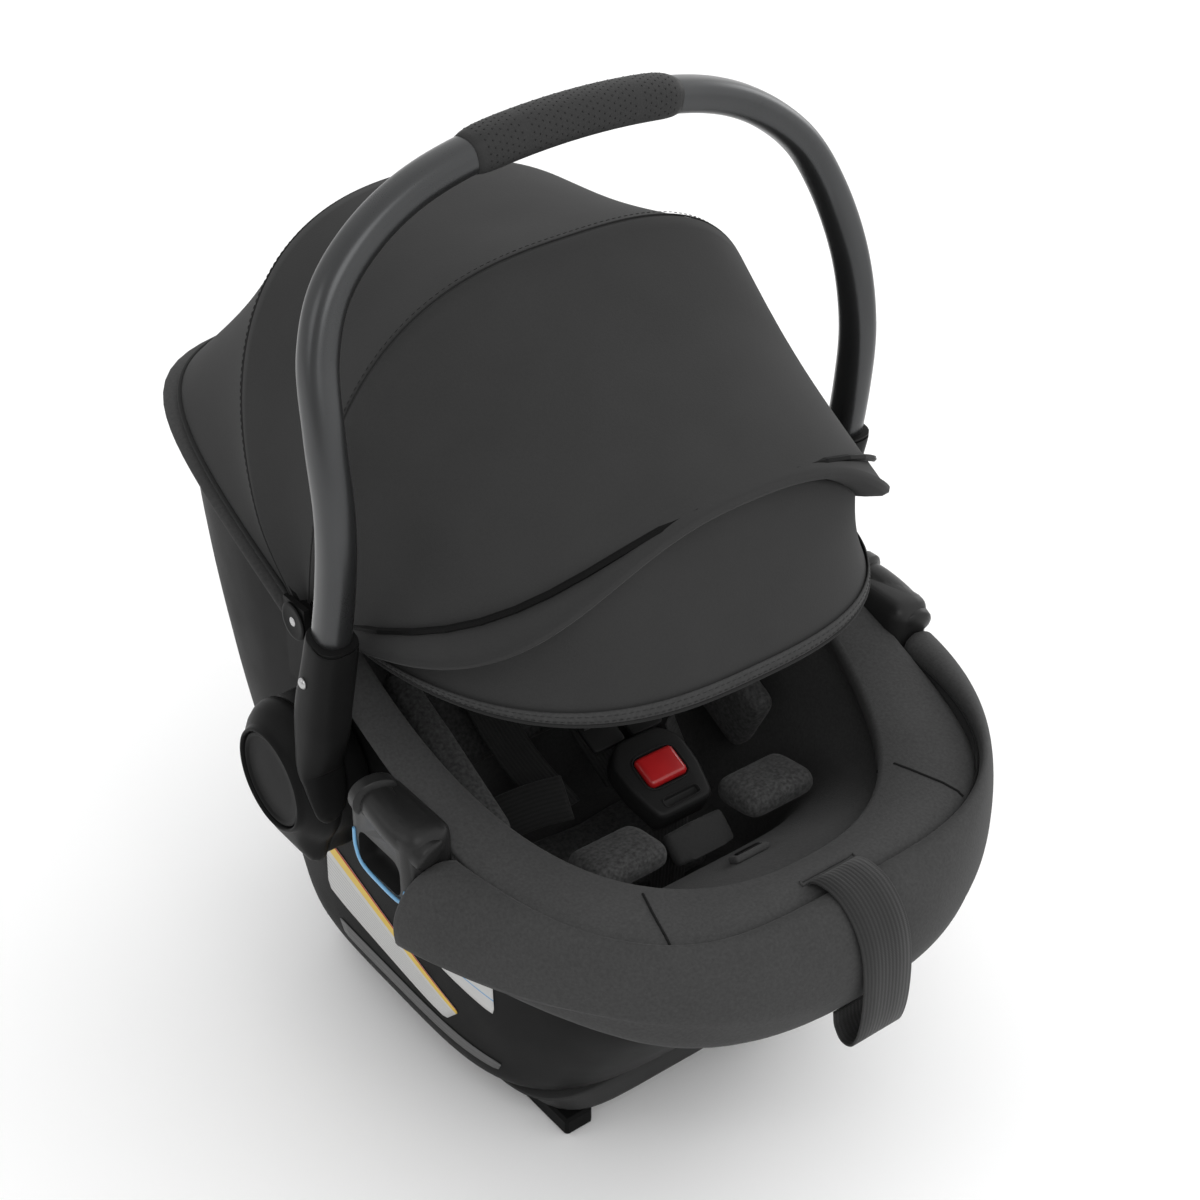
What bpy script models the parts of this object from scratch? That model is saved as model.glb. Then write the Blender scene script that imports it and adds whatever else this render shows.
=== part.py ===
"""Infant car seat: a carrier shell with its harness, a swinging carry handle and a folding canopy.

Metres, +Z up.  X is across the seat, -Y the foot end, +Y the head end, Z = 0 the surface it stands on.
"""

import math

import bmesh
import bpy
from mathutils import Matrix, Vector

# ---------------------------------------------------------------- driving dimensions
GAP = 0.0004             # clearance between two pieces that touch
LAYER_GAP = 0.0012       # clearance between the layers of the bucket

SHELL_HALF = 0.166       # outside half width of the shell at its rim
SHELL_FRONT = -0.253     # foot-end of the shell rim
SHELL_REAR = 0.271       # head-end of the shell rim
RIM_FRONT_Z = 0.232      # height of the shell rim at the foot end
RIM_REAR_Z = 0.406       # height of the shell rim at the head end
SHELL_WALL = 0.004
SHELL_FOOT_Z = 0.034     # where the shell meets the base pan
SHELL_FOOT_HALF = 0.137
LINER_WALL = 0.006
LINER_CROWN = 0.014      # how far the liner stands above the shell rim at the foot end
LINER_CROWN_REAR = 0.003 # and behind the canopy pins

RUNNER_HALF = 0.109      # outside edge of the two skid runners
RUNNER_WIDTH = 0.022
RUNNER_HEIGHT = 0.014
BASE_FRONT = -0.143
BASE_REAR = 0.140

HUB_Y, HUB_Z = 0.025, 0.245      # the handle's axis runs along X through this point
HUB_RADIUS = 0.047
HUB_FACE = 0.2145                # outer face of the hub
HUB_SPLIT = 0.1905               # parting line between the two halves of the hub
HUB_LOBE = 0.062                 # how far the lobe under the hub reaches down
AXLE_RADIUS = 0.009
BUTTON_RADIUS = 0.032
BUTTON_DEPTH = 0.0085
BUTTON_TRAVEL = 0.004

HANDLE_TOP_Z = 0.6375
TUBE_ACROSS, TUBE_ALONG = 0.0105, 0.0118     # half sizes of the handle tube's rounded section
GRIP_HALF = 0.072
GRIP_WALL = 0.0020

PIVOT_Y, PIVOT_Z = 0.033, 0.347  # the canopy bows turn about X through this point
BOW_RADIUS = 0.0022
EYE_RADIUS = 0.0105
EYE_THICK = 0.0046
PIN_RADIUS = 0.0042
PANEL_THICK = 0.0016
# angle up from the foot end, half width at the pin and over the seat, reach from the pin, squareness, and
# how far the sides hang below the middle
BOWS = {
    "rear": (math.radians(125.0), 0.1745, 0.1800, 0.235, 2.40, 0.0),
    "middle": (math.radians(80.0), 0.1690, 0.1690, 0.215, 2.80, 0.0),
    "visor": (math.radians(31.5), 0.1635, 0.1755, 0.236, 2.60, math.radians(10.0)),
    "shade": (math.radians(1.5), 0.1580, 0.1640, 0.214, 2.80, 0.0),
}
PIN_BLEND = 0.070        # a bow reaches its full width this far from its pin

COVER_HALF, COVER_FRONT = 0.221, -0.303      # outermost line of the padded rim cover
COVER_CENTRE = -0.060                        # the widest place of that line
SEAM_OUT = 0.0078                            # its inner seam lies this far outside the shell rim
COVER_START = math.radians(15.0)             # where the cover meets the adapter sockets
WEBBING = 0.038
WEBBING_THICK = 0.0016

BACK_FOOT = Vector((0.0, 0.030, 0.104))      # the seat back runs in a line between these two points
BACK_HEAD = Vector((0.0, 0.250, 0.398))


# ---------------------------------------------------------------- scene and helpers
for old in list(bpy.data.objects):
    bpy.data.objects.remove(old)

seat = bpy.data.collections.new("infant_car_seat")
bpy.context.scene.collection.children.link(seat)
cutters = bpy.data.collections.new("cutters")
bpy.context.scene.collection.children.link(cutters)


def material(name, colour, roughness, metallic=0.0):
    made = bpy.data.materials.new(name)
    made.use_nodes = True
    surface = made.node_tree.nodes["Principled BSDF"]
    surface.inputs["Base Color"].default_value = (*colour, 1.0)
    surface.inputs["Roughness"].default_value = roughness
    surface.inputs["Metallic"].default_value = metallic
    return made


FABRIC = material("canopy_fabric", (0.046, 0.046, 0.046), 0.9)
COVER = material("cover_fabric", (0.060, 0.060, 0.060), 0.9)
HEATHER = material("insert_fabric", (0.030, 0.030, 0.031), 0.95)
SHELL = material("shell_plastic", (0.017, 0.017, 0.018), 0.5)
HUB = material("hub_plastic", (0.030, 0.030, 0.031), 0.45)
TUBE = material("handle_paint", (0.085, 0.087, 0.090), 0.35, 0.8)
LEATHER = material("grip_leather", (0.022, 0.022, 0.023), 0.6)
STEEL = material("steel", (0.45, 0.45, 0.46), 0.3, 1.0)
WEB = material("webbing", (0.020, 0.020, 0.021), 0.8)
FOAM = material("foam", (0.60, 0.60, 0.58), 0.9)
RED = material("button_red", (0.42, 0.01, 0.012), 0.4)
BLUE = material("mark_blue", (0.18, 0.40, 0.62), 0.4)


def add(name, mesh, finish, collection=None):
    """A named object of this mesh, in the seat's collection."""
    made = bpy.data.objects.new(name, mesh)
    (collection or seat).objects.link(made)
    if finish:
        mesh.materials.clear()
        mesh.materials.append(finish)
    return made


def from_bmesh(name, shape, finish, collection=None):
    bmesh.ops.recalc_face_normals(shape, faces=shape.faces)
    mesh = bpy.data.meshes.new(name)
    shape.to_mesh(mesh)
    shape.free()
    return add(name, mesh, finish, collection)


def loft(name, rings, finish, closed=False, collection=None):
    """A solid through rings of points.  closed joins the last ring to the first, else both ends are capped."""
    shape = bmesh.new()
    rows = [[shape.verts.new(point) for point in ring] for ring in rings]
    count = len(rows[0])
    pairs = list(zip(rows, rows[1:] + rows[:1])) if closed else list(zip(rows, rows[1:]))
    for low, high in pairs:
        for i in range(count):
            j = (i + 1) % count
            shape.faces.new((low[i], low[j], high[j], high[i]))
    if not closed:
        shape.faces.new(rows[0])
        shape.faces.new(rows[-1])
    bmesh.ops.triangulate(shape, faces=[face for face in shape.faces if len(face.verts) > 4])
    return from_bmesh(name, shape, finish, collection)


def box(name, size, centre, finish, turn=None, edge=0.0, segments=2, collection=None):
    """A box with rounded edges; turn is a matrix about its own centre."""
    shape = bmesh.new()
    bmesh.ops.create_cube(shape, size=1.0)
    bmesh.ops.scale(shape, vec=size, verts=shape.verts)
    if edge:
        bmesh.ops.bevel(shape, geom=shape.edges, offset=edge, segments=segments, affect="EDGES", profile=0.5)
    if turn:
        bmesh.ops.transform(shape, matrix=turn, verts=shape.verts)
    bmesh.ops.translate(shape, vec=centre, verts=shape.verts)
    return from_bmesh(name, shape, finish, collection)


def disc(name, radius, low, high, centre, finish, sides=32, edge=0.0, collection=None):
    """A cylinder along X from low to high, about the line through centre (y, z)."""
    shape = bmesh.new()
    bmesh.ops.create_cone(shape, cap_ends=True, segments=sides, radius1=radius, radius2=radius,
                          depth=abs(high - low))
    if edge:
        rims = [e for e in shape.edges if abs(e.verts[0].co.z - e.verts[1].co.z) < 1e-6]
        bmesh.ops.bevel(shape, geom=rims, offset=edge, segments=2, affect="EDGES", profile=0.5)
    bmesh.ops.rotate(shape, matrix=Matrix.Rotation(math.pi / 2, 3, "Y"), verts=shape.verts)
    bmesh.ops.translate(shape, vec=((low + high) / 2, centre[0], centre[1]), verts=shape.verts)
    return from_bmesh(name, shape, finish, collection)


def prism(name, outline, low, high, finish, edge=0.0, collection=None):
    """An outline of (y, z) points pushed along X from low to high."""
    shape = bmesh.new()
    face = shape.faces.new([shape.verts.new((low, y, z)) for y, z in outline])
    grown = bmesh.ops.extrude_face_region(shape, geom=[face])
    moved = [item for item in grown["geom"] if isinstance(item, bmesh.types.BMVert)]
    bmesh.ops.translate(shape, vec=(high - low, 0, 0), verts=moved)
    if edge:
        rims = [e for e in shape.edges if abs(e.verts[0].co.x - e.verts[1].co.x) < 1e-6]
        bmesh.ops.bevel(shape, geom=rims, offset=edge, segments=2, affect="EDGES", profile=0.5)
    return from_bmesh(name, shape, finish, collection)


def combine(target, tool, operation="DIFFERENCE"):
    """Cuts tool from target, or joins it on, and keeps the result as target's own mesh."""
    change = target.modifiers.new("with_" + tool.name, "BOOLEAN")
    change.operation = operation
    change.solver = "EXACT"
    change.object = tool
    bpy.context.view_layer.update()
    graph = bpy.context.evaluated_depsgraph_get()
    result = bpy.data.meshes.new_from_object(target.evaluated_get(graph))
    target.modifiers.remove(change)
    old = target.data
    target.data = result
    bpy.data.meshes.remove(old)
    bpy.data.objects.remove(tool)
    return target


def smooth_path(points, per_span):
    """Points along a Catmull-Rom curve through the given ones."""
    ends = [points[0] * 2 - points[1]] + list(points) + [points[-1] * 2 - points[-2]]
    made = []
    for before, start, stop, after in zip(ends, ends[1:], ends[2:], ends[3:]):
        for step in range(per_span):
            t = step / per_span
            made.append(0.5 * ((2 * start) + (stop - before) * t
                               + (2 * before - 5 * start + 4 * stop - after) * t * t
                               + (3 * start - before - 3 * stop + after) * t ** 3))
    return made + [points[-1].copy()]


def frames_along(path, side):
    """(point, across, outward) at each point of the path, across staying nearest to side."""
    made = []
    for i, point in enumerate(path):
        along = (path[min(i + 1, len(path) - 1)] - path[max(i - 1, 0)]).normalized()
        outward = along.cross(side).normalized()
        made.append((point, outward.cross(along).normalized(), outward))
    return made


def sweep(name, path, section, side, finish, collection=None):
    """A solid whose section, (across, outward) pairs, follows the path."""
    rings = [[point + across * u + outward * v for u, v in section]
             for point, across, outward in frames_along(path, side)]
    return loft(name, rings, finish, collection=collection)


def rounded(half_u, half_v, power=3.0, count=16):
    """A rounded section: a superellipse of these half sizes."""
    made = []
    for i in range(count):
        c, s = math.cos(2 * math.pi * i / count), math.sin(2 * math.pi * i / count)
        made.append((math.copysign(abs(c) ** (2 / power), c) * half_u,
                     math.copysign(abs(s) ** (2 / power), s) * half_v))
    return made


def strap(name, points, side=Vector((1, 0, 0)), width=WEBBING, per_span=4):
    """Flat webbing through hand-placed points; its width lies along side."""
    half_w, half_t = width / 2, WEBBING_THICK / 2
    section = [(-half_w, -half_t), (half_w, -half_t), (half_w, half_t), (-half_w, half_t)]
    return sweep(name, smooth_path([Vector(p) for p in points], per_span), section, side, WEB)


def both(maker):
    """Runs maker for the left (-X) and the right (+X) side."""
    for side, sign in (("left", -1), ("right", 1)):
        maker(side, sign)


# ---------------------------------------------------------------- bucket: shell, foam and liner
RING_COUNT = 32


PLAN_POWER = 4.0         # squareness of the bucket seen from above


def climb(share):
    """How far the rim has risen, 0 to 1, at this share of the way from the foot end to the head end."""
    share = min(max(share, 0.0), 1.0)
    return share * share * (3 - 2 * share)


def plan_ring(front_z, rear_z, half, front, rear, power=PLAN_POWER, grow=0.0, lift=0.0, rear_lift=None):
    """One level of the bucket: a squarish oval that climbs from the foot end to the head end."""
    centre, reach = (front + rear) / 2, (rear - front) / 2 + grow
    made = []
    for i in range(RING_COUNT):
        angle = 2 * math.pi * i / RING_COUNT
        c, s = math.cos(angle), math.sin(angle)
        x = math.copysign(abs(c) ** (2 / power), c) * (half + grow)
        y = math.copysign(abs(s) ** (2 / power), s)
        risen = climb((y + 1) / 2)
        raised = lift if rear_lift is None else lift + (rear_lift - lift) * climb((y + 1) * 1.05)
        z = front_z + (rear_z - front_z) * risen + raised
        made.append(Vector((x, centre + y * reach, z)))
    return made


SHELL_LEVELS = [
    (SHELL_FOOT_Z, SHELL_FOOT_Z + 0.004, SHELL_FOOT_HALF, BASE_FRONT + 0.001, 0.150),
    (0.048, 0.054, 0.149, -0.156, 0.165),
    (0.080, 0.102, 0.154, -0.181, 0.184),
    (0.120, 0.170, 0.160, -0.210, 0.212),
    (0.165, 0.245, 0.164, -0.238, 0.240),
    (0.205, 0.330, SHELL_HALF, -0.250, 0.262),
    (RIM_FRONT_Z, RIM_REAR_Z, SHELL_HALF, SHELL_FRONT, SHELL_REAR),
]
SEAT_POWER = 2.7         # the mouth of the seat is rounder than the shell
SEAT_LEVELS = [
    (0.092, 0.104, 0.092, -0.105, BACK_FOOT.y),
    (0.145, 0.165, 0.120, -0.122, 0.075),
    (0.186, 0.240, 0.134, -0.150, 0.135),
    (0.222, 0.320, 0.142, -0.197, 0.195),
    (RIM_FRONT_Z, RIM_REAR_Z, 0.150, -0.234, BACK_HEAD.y, SEAT_POWER),
]


def bucket(name, outer, inner, finish, brim=()):
    """A bucket between two lists of rings, both from the floor up, with brim rings between them."""
    return loft(name, list(outer) + list(brim) + list(reversed(inner)), finish)


shell_inside = [plan_ring(*level, grow=-SHELL_WALL, lift=(SHELL_WALL if i == 0 else 0.0))
                for i, level in enumerate(SHELL_LEVELS)]
shell = bucket("shell", [plan_ring(*level) for level in SHELL_LEVELS], shell_inside, SHELL)

foam_top = -0.010
foam_outside = [plan_ring(*level, grow=-SHELL_WALL - LAYER_GAP - (0.005 if level is SHELL_LEVELS[-1] else 0.0),
                          lift=(SHELL_WALL + LAYER_GAP if i == 0 else 0.0)
                         + (foam_top if level is SHELL_LEVELS[-1] else 0.0))
                for i, level in enumerate(SHELL_LEVELS)]
foam_inside = [plan_ring(*level, grow=LINER_WALL + LAYER_GAP,
                         lift=-LINER_WALL - LAYER_GAP + (foam_top + LINER_WALL if i == 4 else 0.0))
               for i, level in enumerate(SEAT_LEVELS)]
bucket("foam_liner", foam_outside, foam_inside, FOAM)

rim_level = SHELL_LEVELS[-1]
liner_outside = [plan_ring(*level, grow=LINER_WALL, lift=-LINER_WALL * (i < 4))
                 for i, level in enumerate(SEAT_LEVELS)]
liner_brim = [
    plan_ring(*rim_level, grow=-SHELL_WALL - 0.004, lift=LAYER_GAP),
    plan_ring(*rim_level, grow=0.0055, lift=LAYER_GAP),
    plan_ring(*rim_level, grow=0.0065, lift=0.5 * LINER_CROWN, rear_lift=0.5 * LINER_CROWN_REAR),
    plan_ring(*rim_level, grow=0.001, lift=LINER_CROWN, rear_lift=LINER_CROWN_REAR),
    plan_ring(*SEAT_LEVELS[-1], grow=0.004, lift=LINER_CROWN + 0.002, rear_lift=LINER_CROWN_REAR - 0.002),
]
liner_inside = [plan_ring(*level) for level in SEAT_LEVELS]
bucket("seat_liner", liner_outside, liner_inside, COVER, liner_brim)


# ---------------------------------------------------------------- base: pan, runners and latch bars
def base_level(z, half, front, rear):
    return plan_ring(z, z, half, front, rear, power=7.0)


loft("base_pan", [base_level(RUNNER_HEIGHT + GAP, 0.116, BASE_FRONT, BASE_REAR),
                  base_level(SHELL_FOOT_Z - GAP, SHELL_FOOT_HALF - 0.001, BASE_FRONT + 0.001, 0.149)], SHELL)


def runner(side, sign):
    inside = RUNNER_HALF - RUNNER_WIDTH
    box("runner_" + side, (RUNNER_WIDTH, BASE_REAR - BASE_FRONT - 0.020, RUNNER_HEIGHT),
        (sign * (inside + RUNNER_WIDTH / 2), (BASE_FRONT + BASE_REAR) / 2 - 0.006, RUNNER_HEIGHT / 2),
        SHELL, edge=0.002, segments=1)


both(runner)
for place, bar_y in (("front", -0.100), ("rear", 0.085)):
    disc("latch_bar_" + place, 0.004, -0.075, 0.075, (bar_y, 0.0050), STEEL, sides=16)


# ---------------------------------------------------------------- padded rim cover and adapter sockets
def plan_point(angle, half, centre, front, power):
    """A point of an oval about this centre; angle 0 is +X and 90 degrees the foot end."""
    c, s = math.cos(angle), math.sin(angle)
    x = math.copysign(abs(c) ** (2 / power), c) * half
    y = centre - abs(s) ** (2 / power) * (centre - front)
    return Vector((x, y, 0))


def cover_section(angle):
    """The padded roll's section: seam, crown, outermost line, hem and back up against the shell."""
    seam = plan_point(angle, SHELL_HALF + SEAM_OUT, (SHELL_FRONT + SHELL_REAR) / 2, SHELL_FRONT - SEAM_OUT,
                      PLAN_POWER)
    out = plan_point(angle, COVER_HALF, COVER_CENTRE, COVER_FRONT, 2.0)
    front = math.sin(angle) ** 3
    seam_z = 0.266 - 0.016 * front
    hem_z = 0.204 - 0.034 * front
    rows = [(0.02, seam_z), (0.22, seam_z + 0.003), (0.45, seam_z + 0.001), (0.70, seam_z - 0.006),
            (0.90, seam_z - 0.018), (1.00, seam_z - 0.032), (0.97, seam_z - 0.048),
            (0.80, hem_z + 0.020), (0.55, hem_z + 0.006), (0.25, hem_z), (0.08, hem_z + 0.004),
            (0.02, (seam_z + hem_z) / 2)]
    return [seam.lerp(out, share) + Vector((0, 0, z)) for share, z in rows]


COVER_STEPS = 28
loft("rim_cover", [cover_section(COVER_START + (math.pi - 2 * COVER_START) * i / COVER_STEPS)
                   for i in range(COVER_STEPS + 1)], COVER)

SOCKET_CENTRE = Vector((0.1905, -0.090, 0.260))
SOCKET_SIZE = Vector((0.032, 0.070, 0.060))
SOCKET_MOUTH = Vector((0.020, 0.042, 0.024))


def socket(side, sign):
    centre = Vector((sign * SOCKET_CENTRE.x, SOCKET_CENTRE.y, SOCKET_CENTRE.z))
    body = box("adapter_socket_" + side, SOCKET_SIZE, centre, HUB, edge=0.010, segments=3)
    mouth = centre + Vector((sign * SOCKET_SIZE.x / 2, 0, -0.008))
    tool = box("cut_socket_" + side, SOCKET_MOUTH, mouth, None, edge=0.004, collection=cutters)
    combine(body, tool)
    mark_z = mouth.z - SOCKET_MOUTH.z / 2 - 0.005
    box("adapter_mark_" + side, (0.0012, SOCKET_MOUTH.y + 0.010, 0.0022),
        (sign * (SOCKET_CENTRE.x + SOCKET_SIZE.x / 2 + 0.0010), mouth.y, mark_z), BLUE)


both(socket)


# ---------------------------------------------------------------- hubs, axles and release buttons
def hub_outline(radius, lobe, clearance=0.0):
    """The hub seen from its side: round above, with a flat-bottomed lobe below."""
    radius, lobe = radius - clearance, lobe - clearance
    lobe_half = 0.58 * radius
    leave = math.asin(lobe_half / radius) + math.radians(8)
    points = []
    for i in range(29):
        angle = -math.pi / 2 + leave + (2 * math.pi - 2 * leave) * i / 28
        points.append((HUB_Y + radius * math.cos(angle), HUB_Z + radius * math.sin(angle)))
    points.append((HUB_Y - lobe_half * 0.80, HUB_Z - lobe))
    points.append((HUB_Y + lobe_half * 0.80, HUB_Z - lobe))
    return points


def hub(side, sign):
    inner = prism("hub_inner_" + side, hub_outline(HUB_RADIUS, HUB_LOBE - 0.004),
                  sign * (SHELL_HALF + 0.0015), sign * (HUB_SPLIT - GAP), HUB, edge=0.0008)
    combine(inner, disc("cut_axle", AXLE_RADIUS + GAP, sign * 0.150, sign * 0.1865, (HUB_Y, HUB_Z), None,
                        collection=cutters))
    disc("handle_axle_" + side, AXLE_RADIUS, sign * (SHELL_HALF + 0.0006), sign * 0.186, (HUB_Y, HUB_Z), STEEL,
         sides=24)
    outer = prism("hub_outer_" + side, hub_outline(HUB_RADIUS + 0.001, HUB_LOBE), sign * (HUB_SPLIT + GAP),
                  sign * HUB_FACE, HUB, edge=0.0035)
    floor = HUB_FACE - 0.002 - BUTTON_DEPTH - BUTTON_TRAVEL - 0.001
    combine(outer, disc("cut_button", BUTTON_RADIUS + 0.0006, sign * floor, sign * (HUB_FACE + 0.01),
                        (HUB_Y, HUB_Z), None, sides=32, collection=cutters))
    disc("release_button_" + side, BUTTON_RADIUS, sign * (HUB_FACE - 0.002 - BUTTON_DEPTH),
         sign * (HUB_FACE - 0.002), (HUB_Y, HUB_Z), HUB, sides=32, edge=0.0015)


both(hub)


# ---------------------------------------------------------------- handle: tube, yokes, grip and rivets
HANDLE_HALF_PATH = [  # one leg of the handle, from inside its yoke to the middle of the grip
    Vector((0.1990, -0.022, 0.325)),
    Vector((0.1985, -0.036, 0.368)),
    Vector((0.1965, -0.0455, 0.420)),
    Vector((0.1950, -0.0478, 0.465)),
    Vector((0.1925, -0.0390, 0.510)),
    Vector((0.1840, -0.0240, 0.552)),
    Vector((0.1640, -0.0140, 0.587)),
    Vector((0.1240, -0.0085, 0.616)),
    Vector((0.0720, -0.0070, HANDLE_TOP_Z - 0.0055)),
    Vector((0.0000, -0.0070, HANDLE_TOP_Z)),
]
handle_points = ([Vector((-p.x, p.y, p.z)) for p in HANDLE_HALF_PATH]
                 + list(reversed(HANDLE_HALF_PATH[:-1])))
handle_path = smooth_path(handle_points, 3)
ALONG_SEAT = Vector((0, 1, 0))
tube_section = rounded(TUBE_ALONG, TUBE_ACROSS, power=2.6, count=12)
sweep("handle_tube", handle_path, tube_section, ALONG_SEAT, TUBE)


def grip():
    """A sleeve round the middle of the tube: an outer wall and an inner wall joined at both ends."""
    path = [p for p in handle_path if abs(p.x) < GRIP_HALF + 0.001]
    frames = frames_along(path, ALONG_SEAT)
    outer = rounded(TUBE_ALONG + GRIP_WALL, TUBE_ACROSS + GRIP_WALL, power=2.6, count=12)
    inner = rounded(TUBE_ALONG + GAP, TUBE_ACROSS + GAP, power=2.6, count=12)
    rings = [[point + across * u + outward * v for u, v in outer] for point, across, outward in frames]
    rings += [[point + across * u + outward * v for u, v in inner] for point, across, outward in reversed(frames)]
    loft("grip", rings, LEATHER, closed=True)


grip()


def yoke(side, sign):
    """The moulded boot that holds a tube end on its hub."""
    spine = smooth_path([Vector((sign * x, y, z)) for x, y, z in (
        (0.1990, 0.008, 0.262), (0.1990, -0.006, 0.292), (0.1990, -0.024, 0.330), (0.1985, -0.0355, 0.366),
        (0.1978, -0.0405, 0.385))], 3)
    widths = (0.030, 0.026, 0.0185, 0.0165, 0.0160)
    rings = []
    for i, (point, across, outward) in enumerate(frames_along(spine, ALONG_SEAT)):
        place = i / (len(spine) - 1) * (len(widths) - 1)
        low = min(int(place), len(widths) - 2)
        half = widths[low] + (widths[low + 1] - widths[low]) * (place - low)
        rings.append([point + across * u + outward * v for u, v in rounded(half, 0.0148, 3.0, 12)])
    body = loft("yoke_" + side, rings, HUB)
    round_hub = disc("cut_hub", HUB_RADIUS + 0.0015, sign * 0.15, sign * 0.25, (HUB_Y, HUB_Z), None, sides=48,
                     collection=cutters)
    combine(body, round_hub)
    leg = [p for p in handle_path if p.z < 0.43 and p.x * sign > 0]
    bore = sweep("cut_tube", leg, rounded(TUBE_ALONG + GAP, TUBE_ACROSS + GAP, 2.6, 12), ALONG_SEAT, None,
                 collection=cutters)
    combine(body, bore)
    disc("yoke_rivet_" + side, 0.0034, sign * 0.2138, sign * 0.2160, (-0.024, 0.352), STEEL, sides=16)


both(yoke)


# ---------------------------------------------------------------- canopy: brackets, bows and fabric
def bow_point(measures, t):
    """A point of a bow: t runs from 0 at the right pin, over the head, to pi at the left pin."""
    angle, pin_half, half, reach, power, droop = measures
    c, s = math.cos(t), math.sin(t)
    r = abs(s) ** (2 / power) * reach
    width = pin_half + (half - pin_half) * climb(r / PIN_BLEND)
    x = math.copysign(abs(c) ** (2 / power), c) * width
    hang = angle - droop * (1 - abs(s) ** 3)
    return Vector((x, PIVOT_Y - r * math.cos(hang), PIVOT_Z + r * math.sin(hang)))


def bow(name, measures):
    """A wire arch with an eye at each end that turns on the bracket's pin."""
    angle, pin_half, _, reach, power, _ = measures
    first = math.asin(((EYE_RADIUS - 0.0035) / reach) ** (power / 2))
    count = 24
    path = [bow_point(measures, first + (math.pi - 2 * first) * i / count) for i in range(count + 1)]
    radial = Vector((0, -math.cos(angle), math.sin(angle)))
    across = radial.cross(Vector((1, 0, 0)))
    body = sweep("bow_" + name, path, rounded(BOW_RADIUS, BOW_RADIUS, 2.0, 6), across, SHELL)
    for sign in (-1, 1):
        eye = disc("eye", EYE_RADIUS, sign * pin_half - EYE_THICK / 2, sign * pin_half + EYE_THICK / 2,
                   (PIVOT_Y, PIVOT_Z), None, sides=16, collection=cutters)
        combine(body, eye, "UNION")
        hole = disc("hole", PIN_RADIUS + 2 * GAP, sign * pin_half - 0.004, sign * pin_half + 0.004,
                    (PIVOT_Y, PIVOT_Z), None, sides=16, collection=cutters)
        combine(body, hole)
    return body


for bow_name, measures in BOWS.items():
    bow(bow_name, measures)

BRACKET_IN, BRACKET_OUT = 0.1778, 0.1815


def bracket(side, sign):
    """A plate that stands off the shell and carries the pin that the bows turn on."""
    plate = box("canopy_bracket_" + side, (BRACKET_OUT - BRACKET_IN, 0.024, 0.058),
                (sign * (BRACKET_IN + BRACKET_OUT) / 2, PIVOT_Y, PIVOT_Z - 0.016), HUB)
    foot_low = SHELL_HALF + GAP
    foot = box("foot", (BRACKET_IN + 0.001 - foot_low, 0.024, 0.014),
               (sign * (foot_low + BRACKET_IN + 0.001) / 2, PIVOT_Y, PIVOT_Z - 0.038), None, collection=cutters)
    combine(plate, foot, "UNION")
    pin = disc("pin", PIN_RADIUS, sign * 0.1545, sign * (BRACKET_IN + 0.001), (PIVOT_Y, PIVOT_Z), None, sides=16,
               collection=cutters)
    combine(plate, pin, "UNION")


both(bracket)


def hem_point(t):
    """The canopy's rear edge: it runs just outside the shell rim, from pin to pin round the head end."""
    c, s = math.cos(t), math.sin(t)
    y_share = abs(s) ** (2 / HEM_POWER)
    x = math.copysign(abs(c) ** (2 / HEM_POWER), c) * HEM_HALF
    y = PIVOT_Y + (SHELL_REAR + HEM_OUT - PIVOT_Y) * y_share
    rim_z = RIM_FRONT_Z + (RIM_REAR_Z - RIM_FRONT_Z) * climb((y - SHELL_FRONT) / (SHELL_REAR - SHELL_FRONT))
    return Vector((x, y, rim_z + HEM_UP + 0.010 * (1 - y_share)))


def panel(name, low, high, start=0.05, stop=0.95, sag=0.004, edge=0.16):
    """Fabric stretched between two edges: a thin closed sheet that stops just short of both."""
    rows, columns = 4, 20
    centre = Vector((0, PIVOT_Y, PIVOT_Z))
    shape = bmesh.new()
    grid = []
    for i in range(rows + 1):
        share = start + (stop - start) * i / rows
        row = []
        for j in range(columns + 1):
            t = edge + (math.pi - 2 * edge) * j / columns
            point = low(t).lerp(high(t), share)
            inwards = (centre - point).normalized()
            row.append(shape.verts.new(point + inwards * sag * math.sin(math.pi * share)))
        grid.append(row)
    for a, b in zip(grid, grid[1:]):
        for j in range(columns):
            shape.faces.new((a[j], a[j + 1], b[j + 1], b[j]))
    made = from_bmesh(name, shape, FABRIC)
    thick = made.modifiers.new("thickness", "SOLIDIFY")
    thick.thickness = PANEL_THICK
    thick.offset = 0.0
    return made


HEM_HALF, HEM_OUT, HEM_UP, HEM_POWER = 0.1735, 0.0085, 0.006, 3.2
edges = {name: (lambda t, m=measures: bow_point(m, t)) for name, measures in BOWS.items()}
panel("canopy_rear_panel", hem_point, edges["rear"], start=0.03, stop=0.95)
panel("canopy_middle_panel", edges["rear"], edges["middle"], start=0.06, stop=0.94)
panel("canopy_front_panel", edges["middle"], edges["visor"], start=0.05, stop=0.95)
panel("canopy_shade_panel", edges["visor"], edges["shade"], start=0.10, stop=0.90, edge=0.30)


# ---------------------------------------------------------------- padding in the bucket
back_line = BACK_HEAD - BACK_FOOT
back_turn = Matrix.Rotation(math.atan2(back_line.z, back_line.y), 4, "X")
back_normal = Vector((0, -back_line.z, back_line.y)).normalized()


def on_back(along, out, x=0.0):
    """A point above the seat back: along from its foot, out from its surface."""
    return BACK_FOOT + back_line.normalized() * along + back_normal * out + Vector((x, 0, 0))


box("back_pad", (0.150, 0.270, 0.018), on_back(0.185, 0.016), HEATHER, turn=back_turn, edge=0.006)


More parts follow.
